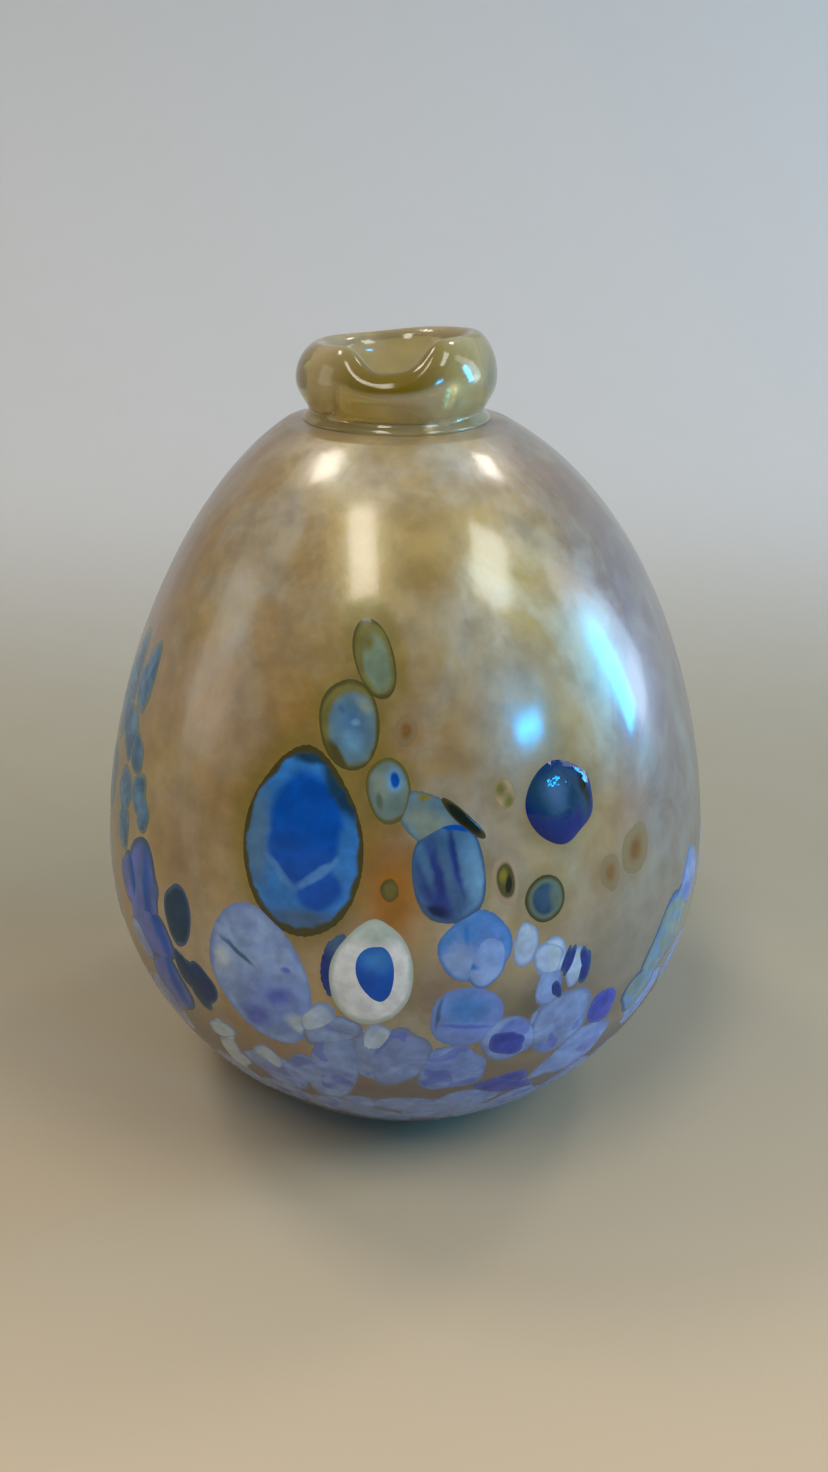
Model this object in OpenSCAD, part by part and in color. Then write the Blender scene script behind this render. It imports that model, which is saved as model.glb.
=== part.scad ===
// Hand blown art glass vase: an egg shaped amber bubble with a rolled lip collar.
// Chips of coloured glass are melted flush into its wall.
// Millimetres, +Z up, +Y to the back. The origin is the centre of the resting face.

/* [Body] */
// Radius of the bubble at its widest
belly_r = 44.9; // [38:0.1:52]
// Height of the widest ring above the resting face
belly_z = 40; // [36:1:44]
// Radius of the flat ring that the vase stands on
foot_r = 20; // [16:0.5:24]
// Height at which the lip collar meets the bubble
neck_z = 102.7; // [101:0.1:104]
// Thickness of the bubble's wall at the belly
wall_t = 4; // [3.4:0.1:5]
// Thickness of the glass in the bottom
bottom_t = 9; // [7:0.5:12]
// Radius of the hollow under the bottom
kick_r = 10; // [8:0.5:13]
// Depth of the hollow under the bottom
kick_depth = 1.8; // [1.4:0.1:2.4]

/* [Lip] */
// Radius of the straight throat
throat_r = 8; // [6:0.1:9]
// Length of the straight throat
throat_len = 6.8; // [5:0.1:8]
// Radius of the crease where the collar meets the bubble
crease_r = 11.2; // [10.6:0.1:12]
// Radius of the collar's bulge
collar_r = 13.3; // [12.4:0.1:14.5]
// Height of the top of the rim above the resting face
rim_z = 113.5; // [112.5:0.1:116]
// Sideways lean of the neck, with the left negative
neck_shift = -1.6; // [-2.4:0.1:2.4]
// Depth of the dip in the front of the rim
dip_depth = 3.2; // [1:0.1:4]
// Radius of the dip in the front of the rim
dip_r = 6.5; // [5:0.1:9]

/* [Chips] */
// Depth of every chip at its edge
chip_edge = 0.7; // [0.5:0.05:1]
// How far the cobalt chip stands out of the wall
cobalt_raise = 0.6; // [0:0.1:1]
// Radius of the punty seal
punty_r = 6.5; // [4:0.1:7.5]
// Thickness of the punty seal
punty_t = 1; // [0.6:0.1:1.2]

/* [Hidden] */

// A chip is [azimuth, height, width, length, lean, taper]. Azimuth is in degrees to the
// right of the front, lean in degrees with the top to the right, and taper narrows the top.
eye = [-16.9, 60, 15, 23.2, 0, 0.24];
top_oval = [-5.8, 81.2, 4.8, 9.8, -19, 0];
second_oval = [-9.9, 74.1, 6.8, 9.8, -13, 0];
spotted_head = [-2.6, 67, 5, 7.6, -14, 0];
pale_neck = [5.7, 64.1, 3.4, 6.4, -54, 0];
folded_blue = [7.5, 56.6, 8.8, 9.2, -5, 0.15];
dark_arc = [11.4, 64.6, 1.6, 6.6, -44, 0];
light_blue = [11, 47.2, 9.4, 8.6, -5, 0];
murrine = [-4.6, 44.3, 9.4, 14.2, 6, 0.15];
murrine_eye = [-4.3, 44.4, 5.4, 8.4, 4, 0.1];
navy_crescent = [-9.5, 45, 6.6, 10.4, 6, 0];
ghost_disc = [-2.2, 55.3, 2.8, 3.8, 0, 0];
cobalt = [27.6, 63.8, 8.6, 9.6, 0, 0];
tiny_olive = [17.2, 66, 2.8, 4, 0, 0];
dark_sliver = [16.6, 55.6, 2.4, 5.2, -8, 0];
teal_round = [23.4, 52.3, 5.8, 6.6, 0, 0];
periwinkle = [-24.2, 40.8, 13.4, 19, -10, 0.1];
striped = [10.2, 37.3, 8.6, 8.4, 0, 0];
small_white = [[19.8, 46.6, 2.8, 4.8, 5, 0], [24.4, 44, 3.6, 5, 8, 0]];
navy_stripe = [[27.9, 42.8, 1.4, 4.6, 22, 0], [31, 41, 1.8, 5.2, 12, 0],
    [25.2, 39.3, 1.2, 2.8, -8, 0]];
violet = [[17.8, 31.6, 5, 3.8, 0, 0], [20, 22.4, 5.2, 5, 10, 0], [36.4, 33, 4.4, 5, 34, 0]];
lower_band = [[-22.6, 23, 7, 7.6, -14, 0], [-12.9, 26.4, 5.8, 10.4, -8, 0], [-2.9, 30.2, 8, 10.4, 0, 0],
    [8.8, 27, 8, 8, 0, 0], [31, 25.6, 4.6, 12, 38, 0], [25.4, 34.4, 6.2, 5.4, 0, 0],
    [5.4, 18, 11, 5.4, 0, 0], [-8.4, 18.6, 5, 4.6, 0, 0]];
left_white = [[-33.5, 28.6, 3, 4, -30, 0], [-32.5, 22.8, 3.4, 3.6, -20, 0]];
left_steel = [[-62, 72, 3.6, 7.6, -4, 0], [-64, 63.6, 3.6, 6.4, 0, 0],
    [-62, 56, 3.4, 6, 0, 0], [-73, 68, 7, 13, 0, 0.1], [-75, 54, 7.4, 9, 0, 0]];
left_cobalt = [-52, 43.4, 7.6, 16, -4, 0.1];
left_navy = [-41, 45.2, 5.2, 8.8, -6, 0];
left_streak = [-37.6, 35.2, 3.4, 7.6, -26, 0];
right_teal = [57, 39.2, 5.6, 12.4, 24, 0];
amber = [[43, 54.5, 5, 6.4, 10, 0], [0.2, 73.6, 2.4, 3.6, 0, 0], [36.6, 53, 3.2, 4.6, 0, 0]];
back_eye = [158, 59, 13, 19, 8, 0.2];
back_blue = [[-150, 64, 7, 10, 12, 0], [-128, 58, 9, 12, -8, 0.1], [-171, 71, 6, 8.6, 0, 0],
    [118, 62, 8, 11, 10, 0], [-104, 66, 6, 9.6, 0, 0], [92, 55, 7, 10, -10, 0]];
back_pale = [[-95, 43, 11, 15, 8, 0.1], [-119, 39, 10, 13, -10, 0], [-143, 43, 11, 14, 5, 0],
    [-168, 41, 12, 14, 0, 0.1], [167, 38, 9, 12, 12, 0], [143, 42, 11, 15, -6, 0.1],
    [120, 41, 9.6, 13, 6, 0], [99, 38, 10, 12, 0, 0], [77, 41, 8.4, 12, 8, 0],
    [-76, 39, 7.4, 12, 0, 0]];
back_band = [[-50, 26, 8, 9.6, -20, 0], [-70, 24, 9, 8.4, -10, 0], [-91, 25, 8, 9, 0, 0],
    [-111, 24, 8.6, 8, 8, 0], [-131, 26, 8, 9.6, -10, 0], [-152, 25, 9, 9, 0, 0],
    [-172, 25, 7.6, 9, 10, 0], [169, 23.6, 8, 8, 0, 0], [149, 26, 8.6, 9, -8, 0],
    [128, 25, 8.4, 9, 6, 0], [108, 24, 8, 8, 0, 0], [88, 25, 8.6, 9, -6, 0],
    [68, 27, 8, 9.6, 8, 0], [50, 28, 7, 9, 20, 0]];
ALL_CHIPS = concat([eye, top_oval, second_oval, spotted_head, pale_neck, folded_blue, dark_arc,
    light_blue, murrine, navy_crescent, ghost_disc, cobalt, tiny_olive, dark_sliver,
    teal_round, periwinkle, striped, left_cobalt, left_navy, left_streak, right_teal,
    back_eye], small_white, navy_stripe, violet, lower_band, left_white, left_steel, amber,
    back_blue, back_pale, back_band);

// The bubble's outline is a foot ring under two superellipse curves that meet at the belly.
LOWER_POWER = [2.1, 1.22];
UPPER_POWER = [1.71, 2.08];
DOME_H = 66;
BANDS = 12;
TOP_BAND_Z = neck_z - 1.2;
SHELF_R = 13.4;
CLEAR = 3;
TINY = 0.01;
$fn = 360;

function swell(part, power) = pow(max(1 - pow(part, power[0]), 0), 1 / power[1]);
function lower_r(z) = foot_r + (belly_r - foot_r) * swell((belly_z - z) / belly_z, LOWER_POWER);
function upper_r(z) = belly_r * swell((z - belly_z) / DOME_H, UPPER_POWER);
function outer_r(z) = z < belly_z ? lower_r(z) : upper_r(z);
// Angle of the wall's outward normal above the level
function wall_pitch(z) = atan2(outer_r(z - 0.5) - outer_r(z + 0.5), 1);

// Heights crowd towards the foot and the neck, where the outline turns fastest
function lower_heights() = [for (i = [0:BANDS]) belly_z * (1 - cos(90 * i / BANDS))];
function upper_heights() =
    [for (i = [1:BANDS]) belly_z + (TOP_BAND_Z - belly_z) * sin(90 * i / BANDS)];

module bubble_solid() {
    heights = concat(lower_heights(), upper_heights());
    rotate_extrude()
        polygon(concat([[0, 0]], [for (z = heights) [outer_r(z), z]],
            [[SHELF_R, neck_z], [0, neck_z]]));
}

// The inside follows the same curves, one wall thickness in
module bubble_hollow() {
    inner_r = belly_r - wall_t;
    down = belly_z - bottom_t;
    up = DOME_H - wall_t;
    steps = 10;
    rotate_extrude()
        polygon(concat(
            [for (i = [0:steps]) let (t = 90 * i / steps)
                [inner_r * swell(cos(t), [2.4, 2]), belly_z - down * cos(t)]],
            [for (i = [1:steps]) let (t = 90 * i / steps)
                [inner_r * swell(sin(t), UPPER_POWER), belly_z + up * sin(t)]]));
}

module at_wall(chip) {
    rotate([0, 0, chip[0]])
        translate([0, -outer_r(chip[1]), chip[1]])
            rotate([90 - wall_pitch(chip[1]), 0, 0])
                rotate([0, 0, -chip[4]])
                    children();
}

function chip_sides(chip) = chip[3] > 9 ? 20 : 14;
// Chips are lens shaped, so a long one is thicker in the middle
function chip_depth(chip) =
    chip_edge + pow(max(chip[2], chip[3]), 2) / (8 * (chip[1] < 30 ? 34 : belly_r));

module chip_outline(chip, grow = 0) {
    sides = chip_sides(chip);
    polygon([for (i = [0:sides - 1]) let (t = 360 * i / sides)
        [(chip[2] / 2 + grow) * sin(t) * (1 - chip[5] * cos(t)), (chip[3] / 2 + grow) * cos(t)]]);
}

module chip_prism(chip, above = CLEAR) {
    at_wall(chip)
        translate([0, 0, -chip_depth(chip)])
            linear_extrude(chip_depth(chip) + above)
                chip_outline(chip);
}

module wall_chip(chip) {
    intersection() {
        chip_prism(chip);
        bubble_solid();
    }
}

module wall_chips(chips) {
    for (chip = chips)
        wall_chip(chip);
}

module glass_body() {
    color([0.72, 0.6, 0.38, 0.6])
        difference() {
            bubble_solid();
            bubble_hollow();
            translate([neck_shift, 0, neck_z - 2.7])
                cylinder(r1 = throat_r + 1.6, r2 = throat_r, h = 2.7);
            translate([neck_shift, 0, neck_z - TINY])
                cylinder(r = throat_r, h = 1);
            translate([0, 0, -1])
                cylinder(r = kick_r, h = kick_depth + 1);
            for (chip = ALL_CHIPS)
                chip_prism(chip);
        }
}

module collar_section() {
    bulge_mid = neck_z + 0.52 * (rim_z - neck_z);
    low = bulge_mid - neck_z;
    high = rim_z - bulge_mid;
    rim_mid_r = (throat_r + collar_r) / 2 + 0.2;
    straight_z = neck_z + throat_len;
    steps = 5;
    polygon(concat(
        [[throat_r, neck_z], [crease_r, neck_z]],
        [for (i = [1:steps]) let (t = 90 * i / steps)
            [crease_r + (collar_r - crease_r) * sin(t), bulge_mid - low * (1 - i / steps)]],
        [for (i = [1:steps]) let (t = 90 * i / steps)
            [rim_mid_r + (collar_r - rim_mid_r) * cos(t), bulge_mid + high * sin(t)]],
        [for (i = [1:steps]) let (t = 90 * i / steps)
            [throat_r + (rim_mid_r - throat_r) * cos(t),
                straight_z + (rim_z - straight_z) * pow(cos(t), 0.8)]]));
}

module lip_collar() {
    color([0.66, 0.62, 0.32, 0.6])
        difference() {
            translate([neck_shift, 0, 0])
                rotate_extrude()
                    collar_section();
            translate([neck_shift, -throat_r / 2, rim_z - dip_depth + dip_r])
                rotate([90, 0, 0])
                    cylinder(r = dip_r, h = collar_r);
        }
}

module punty_seal() {
    color([0.7, 0.62, 0.42, 0.7])
        translate([0, 0, kick_depth - punty_t])
            cylinder(r1 = punty_r - 0.6, r2 = punty_r, h = punty_t);
}

module eye_chip() { color([0.1, 0.35, 0.68]) wall_chip(eye); }
module top_oval_chip() { color([0.5, 0.58, 0.45]) wall_chip(top_oval); }
module second_oval_chip() { color([0.5, 0.63, 0.68]) wall_chip(second_oval); }
module spotted_head_chip() { color([0.6, 0.66, 0.62]) wall_chip(spotted_head); }
module pale_neck_chip() { color([0.55, 0.65, 0.68]) wall_chip(pale_neck); }
module folded_blue_chip() { color([0.33, 0.45, 0.66]) wall_chip(folded_blue); }
module dark_arc_chip() { color([0.22, 0.2, 0.08]) wall_chip(dark_arc); }
module light_blue_chip() { color([0.42, 0.6, 0.82]) wall_chip(light_blue); }
module ghost_disc_chip() { color([0.6, 0.5, 0.2]) wall_chip(ghost_disc); }
module tiny_olive_chip() { color([0.5, 0.46, 0.16]) wall_chip(tiny_olive); }
module dark_sliver_chip() { color([0.16, 0.18, 0.1]) wall_chip(dark_sliver); }
module teal_round_chip() { color([0.25, 0.42, 0.5]) wall_chip(teal_round); }
module periwinkle_chip() { color([0.6, 0.68, 0.85]) wall_chip(periwinkle); }
module striped_chip() { color([0.45, 0.58, 0.85]) wall_chip(striped); }

module murrine_ring() {
    color([0.86, 0.88, 0.84])
        difference() {
            wall_chip(murrine);
            chip_prism(murrine_eye);
        }
}

module murrine_core() {
    color([0.12, 0.36, 0.72])
        intersection() {
            wall_chip(murrine);
            chip_prism(murrine_eye);
        }
}

module navy_crescent_chip() {
    color([0.12, 0.16, 0.42])
        difference() {
            wall_chip(navy_crescent);
            chip_prism(murrine);
        }
}

// The cobalt chip is the only one that stands out of the wall
module cobalt_chip() {
    color([0.05, 0.12, 0.45]) {
        intersection() {
            chip_prism(cobalt);
            bubble_solid();
        }
        at_wall(cobalt)
            translate([0, 0, -0.5])
                linear_extrude(cobalt_raise + 0.5)
                    chip_outline(cobalt, -0.5);
    }
}

module small_white_chips() { color([0.78, 0.84, 0.86]) wall_chips(small_white); }
module navy_stripe_chips() { color([0.25, 0.3, 0.6]) wall_chips(navy_stripe); }
module violet_chips() { color([0.3, 0.32, 0.72]) wall_chips(violet); }
module lower_band_chips() { color([0.55, 0.62, 0.82]) wall_chips(lower_band); }
module left_white_chips() { color([0.78, 0.8, 0.84]) wall_chips(left_white); }
module left_steel_chips() { color([0.38, 0.46, 0.58]) wall_chips(left_steel); }
module left_cobalt_chip() { color([0.26, 0.34, 0.66]) wall_chip(left_cobalt); }
module left_navy_chip() { color([0.16, 0.24, 0.36]) wall_chip(left_navy); }
module left_streak_chip() { color([0.3, 0.38, 0.5]) wall_chip(left_streak); }
module right_teal_chip() { color([0.42, 0.55, 0.58]) wall_chip(right_teal); }
module amber_chips() { color([0.6, 0.38, 0.12]) wall_chips(amber); }
module back_eye_chip() { color([0.12, 0.34, 0.66]) wall_chip(back_eye); }
module back_blue_chips() { color([0.36, 0.52, 0.74]) wall_chips(back_blue); }
module back_pale_chips() { color([0.6, 0.68, 0.85]) wall_chips(back_pale); }
module back_band_chips() { color([0.52, 0.58, 0.8]) wall_chips(back_band); }

glass_body();
lip_collar();
punty_seal();
eye_chip();
top_oval_chip();
second_oval_chip();
spotted_head_chip();
pale_neck_chip();
folded_blue_chip();
dark_arc_chip();
light_blue_chip();
murrine_ring();
murrine_core();
navy_crescent_chip();
ghost_disc_chip();
cobalt_chip();
tiny_olive_chip();
dark_sliver_chip();
teal_round_chip();
periwinkle_chip();
striped_chip();
small_white_chips();
navy_stripe_chips();
violet_chips();
lower_band_chips();
left_white_chips();
left_steel_chips();
left_cobalt_chip();
left_navy_chip();
left_streak_chip();
right_teal_chip();
amber_chips();
back_eye_chip();
back_blue_chips();
back_pale_chips();
back_band_chips();
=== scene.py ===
"""Looks of a hand blown art glass vase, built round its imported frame."""

import math

import bmesh
import bpy
import numpy as np
from bpy.props import FloatProperty, FloatVectorProperty, PointerProperty
from mathutils import Matrix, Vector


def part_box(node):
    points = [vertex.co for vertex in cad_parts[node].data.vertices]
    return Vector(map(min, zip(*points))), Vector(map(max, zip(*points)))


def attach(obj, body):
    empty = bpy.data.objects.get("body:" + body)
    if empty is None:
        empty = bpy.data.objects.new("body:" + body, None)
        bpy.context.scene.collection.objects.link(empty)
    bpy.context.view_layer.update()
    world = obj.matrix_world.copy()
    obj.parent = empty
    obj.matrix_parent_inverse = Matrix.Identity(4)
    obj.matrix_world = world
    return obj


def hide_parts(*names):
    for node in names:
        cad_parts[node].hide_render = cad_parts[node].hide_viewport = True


bl_info = {
    "name": "Blown Glass Vase",
    "version": (1, 0, 0),
    "blender": (4, 5, 0),
    "location": "View3D > Sidebar > Vase",
    "description": "Builds a lustred amber glass vase with coloured chips in its wall",
    "category": "Object",
}

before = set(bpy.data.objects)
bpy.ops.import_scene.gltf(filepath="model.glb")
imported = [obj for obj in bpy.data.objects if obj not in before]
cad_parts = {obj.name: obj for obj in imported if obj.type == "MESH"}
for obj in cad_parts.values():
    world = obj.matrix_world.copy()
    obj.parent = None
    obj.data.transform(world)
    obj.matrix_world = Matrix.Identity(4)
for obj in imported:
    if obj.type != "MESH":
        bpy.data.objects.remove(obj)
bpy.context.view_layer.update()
BODY_LOW, BODY_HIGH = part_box("glass_body")
LIP_LOW, LIP_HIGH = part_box("lip_collar")
SEAL_LOW, SEAL_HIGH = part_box("punty_seal")
MM = 0.001

# Powers of the superellipse quarters: the outside below and above the belly, and the inside
LOWER_POWERS, UPPER_POWERS, INSIDE_POWERS = (2.1, 1.22), (1.71, 2.08), (2.4, 2.0)
# How far a chip's edge is tucked under the wall
TUCK = 0.02 * MM
# Azimuth in radians at which the rim's dip lies
DIP_AZIMUTH = -0.04
# Width in mm of the film that the lens is given for, and the nearest distance that is drawn
SENSOR_WIDTH, NEAREST = 36.0, 0.01
# The sweep in metres: its front end, its wall, its bend, its top and its half width
SWEEP_FRONT, SWEEP_WALL, SWEEP_BEND, SWEEP_TOP, SWEEP_SIDE = -1.2, 0.55, 0.3, 1.6, 1.4
# Strength of the surrounding air as a light, and as the camera sees it
AIR_LIGHT, AIR_SEEN = 0.12, 0.42


WARM_WHITE, PINK_WHITE = (1.0, 0.93, 0.84), (1.0, 0.55, 0.35)
# Strip lights: name, first and last direction as azimuth and elevation in degrees, width,
# power for each square metre and tint
STRIPS = [
    ("window_edge", (98, 0), (92, 21), 0.13, 120, (0.05, 0.50, 1.0)),
    ("window_blue", (109, -2), (101, 20), 0.22, 18, (0.60, 0.85, 1.0)),
    ("window_lilac", (100, 20), (88, 36), 0.20, 11, (0.86, 0.84, 0.94)),
    ("soft_right", (66, 34), (78, -6), 0.4, 1.5, (1.0, 0.86, 0.70)),
    ("window_white", (106, -6), (103, 6), 0.20, 9, (0.85, 0.93, 1.0)),
    ("lamp_left", (-51, 71), (-21, 47), 0.19, 42, WARM_WHITE),
    ("lamp_right", (77, 56), (49, 42), 0.24, 33, (0.97, 1.0, 0.96)),
    ("high_left", (-130, 60), (-104, 60), 0.17, 56, WARM_WHITE),
    ("high_right", (118, 52), (134, 52), 0.12, 60, WARM_WHITE),
    ("blue_spot", (44, 15), (54, 15), 0.06, 300, (0.0, 0.40, 1.0)),
    ("soft_left", (-90, 32), (-84, -2), 0.35, 5, (1.0, 0.96, 0.9)),
    ("small_left", (-17, 44), (-15, 44), 0.02, 60, PINK_WHITE),
    ("small_right", (45, 35), (47, 35), 0.02, 60, PINK_WHITE),
    ("ceiling", (0, 60), (180, 60), 1.2, 1.2, (1.0, 0.97, 0.93)),
]


# --------------------------------------------------------- stains and lobes

# Strength of the stain in the wall round the chips of a node
HALOS = {"eye_chip": 0.8, "top_oval_chip": 0.6, "second_oval_chip": 0.7,
         "spotted_head_chip": 0.7, "folded_blue_chip": 0.5, "murrine_ring": 0.25,
         "cobalt_chip": 0.45, "tiny_olive_chip": 0.3, "teal_round_chip": 0.4,
         "back_eye_chip": 0.8, "back_blue_chips": 0.6}

# Lobes that melted against the chips of a node: azimuth in degrees, height, half width and
# half length in mm, lean in degrees and the chip's number between 0 and 1.
LOBES = {
    "lower_band_chips": [
        (17.8, 32.4, 4.3, 4.3, 78, 0.35), (27.3, 33.0, 5.6, 5.0, 69, 0.8),
        (34.0, 24.8, 4.9, 6.3, 28, 0.05), (8.1, 28.2, 5.0, 4.8, 94, 0.0),
        (13.0, 19.5, 3.5, 4.9, 108, 0.15), (-0.7, 30.3, 3.7, 6.7, 15, 0.55),
        (-12.0, 26.9, 3.8, 9.2, 11, 0.3), (-11.7, 34.7, 2.3, 4.4, 58, 1.0),
        (-17.8, 25.7, 4.2, 2.7, -62, 0.1), (0.2, 19.1, 2.9, 4.4, 86, 0.6),
        (-26.5, 24.5, 3.0, 3.0, -46, 0.45), (24.1, 40.0, 2.1, 3.2, 4, 0.5)],
    "small_white_chips": [
        (-13.6, 36.2, 2.6, 3.0, 30, 0.9), (-24.5, 26.4, 2.2, 2.6, -40, 0.5),
        (19.7, 47.3, 1.4, 2.6, 4, 0.3), (23.9, 44.0, 2.5, 2.3, 41, 0.8),
        (29.0, 41.7, 1.6, 3.0, 4, 0.6), (-4.2, 33.9, 2.1, 3.4, 26, 0.0)],
    "left_white_chips": [
        (-33.8, 23.2, 4.7, 2.1, -81, 0.2), (-33.9, 28.5, 2.9, 1.7, -37, 0.9)],
    "light_blue_chip": [
        (13.4, 45.3, 2.4, 3.7, 24, 0.8)],
    "left_steel_chips": [
        (-63.2, 70.7, 2.8, 3.9, -12, 0.2), (-59.2, 62.2, 2.5, 2.7, 0, 0.6),
        (-55.5, 57.7, 2.2, 3.2, 3, 0.9), (-64.7, 63.6, 3.4, 2.8, -11, 0.4),
        (-70.2, 64.7, 3.7, 3.1, -19, 0.8), (-62.6, 56.1, 2.9, 3.5, 1, 0.1),
        (-52.9, 55.4, 1.8, 2.4, 5, 1.0), (-61.2, 51.2, 2.4, 3.5, -13, 0.5)],
    "left_cobalt_chip": [
        (-52.0, 45.8, 4.6, 4.4, -34, 0.0), (-47.8, 39.7, 3.8, 4.1, -28, 0.6),
        (-45.3, 32.5, 4.0, 5.0, -16, 0.9), (-57.2, 44.7, 3.2, 3.9, -21, 0.5)],
    "left_streak_chip": [
        (-36.2, 36.0, 2.7, 3.4, -35, 0.0), (-39.9, 36.8, 1.7, 3.2, -28, 0.8)],
    "right_teal_chip": [
        (52.0, 37.7, 3.6, 7.0, 42, 0.5), (46.3, 31.7, 3.3, 4.0, 55, 0.9)],
    "violet_chips": [
        (36.1, 32.5, 3.6, 2.2, 83, 0.0), (17.4, 31.7, 3.0, 2.2, 55, 0.5),
        (19.4, 21.5, 5.0, 2.0, 32, 1.0)],
    "navy_stripe_chips": [
        (27.2, 43.2, 0.5, 1.8, 21, 0.0), (30.9, 42.0, 0.8, 2.3, -15, 0.5),
        (25.8, 39.0, 0.6, 1.6, -13, 1.0)],
}


def scattered_lobes(seed, count, heights, sizes, start=62.0, end=302.0):
    """Rows of lobes round the sides and the back, evenly spaced and then shaken."""
    rng = np.random.default_rng(seed)
    azimuth = np.linspace(start, end, count) + rng.uniform(-4, 4, count)
    azimuth = (azimuth + 180) % 360 - 180
    return list(zip(azimuth, rng.uniform(*heights, count), rng.uniform(*sizes, count),
                    rng.uniform(*sizes, count), rng.uniform(-50, 50, count),
                    rng.uniform(0, 1, count)))


LOBES["lower_band_chips"] += scattered_lobes(9, 12, (12.5, 17), (3.4, 5.4), -44.0, 56.0)
LOBES["back_band_chips"] = (scattered_lobes(5, 24, (14, 22), (3.0, 5.2))
                            + scattered_lobes(6, 24, (23, 32), (3.0, 5.4)))
LOBES["back_pale_chips"] = scattered_lobes(7, 17, (34, 46), (2.2, 5.0))
LOBES["back_blue_chips"] = [(112, 56, 2.2, 3.6, -12, 0.3), (-128, 50, 3.4, 3.0, 20, 0.7),
                            (176, 44, 3.0, 4.2, 10, 0.5), (-152, 73, 1.8, 3.0, 14, 0.2)]


# ---------------------------------------------------------------- properties

def length(name, description, default):
    """A length property in metres."""
    return FloatProperty(name=name, description=description, default=default,
                         unit="LENGTH", precision=5)


def colour(name, description, default):
    """A colour property."""
    return FloatVectorProperty(name=name, description=description, default=default,
                               subtype="COLOR", size=3, min=0, max=1)


class VaseShape(bpy.types.PropertyGroup):
    """Sizes of the bubble, the lip and the chips."""

    belly_radius: length("Belly radius", "Widest radius of the bubble", BODY_HIGH.x)
    belly_height: length("Belly height", "Height of the widest ring", 40 * MM)
    foot_radius: length("Foot radius", "Radius of the resting ring", 20 * MM)
    dome_height: length("Dome height", "Height at which the dome would close", 66 * MM)
    wall: length("Wall", "Thickness of the bubble's wall", 4 * MM)
    bottom: length("Bottom", "Thickness of the bottom", 9 * MM)
    kick_radius: length("Kick radius", "Radius of the hollow underneath", 10 * MM)
    kick_depth: length("Kick depth", "Depth of the hollow underneath", 1.8 * MM)
    throat_radius: length("Throat radius", "Radius of the mouth's straight part", 8 * MM)
    dip_depth: length("Dip depth", "Depth of the dip in the rim's front", 3.4 * MM)
    rim_tilt: length("Rim tilt", "How much higher the right of the rim is", 1.7 * MM)
    wobble: length("Wobble", "Unevenness of the blown wall", 0.16 * MM)
    chip_rise: length("Chip rise", "How far a chip stands out of the wall", 0.1 * MM)
    chip_depth: length("Chip depth", "Thickness of a chip in the wall", 0.9 * MM)


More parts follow.
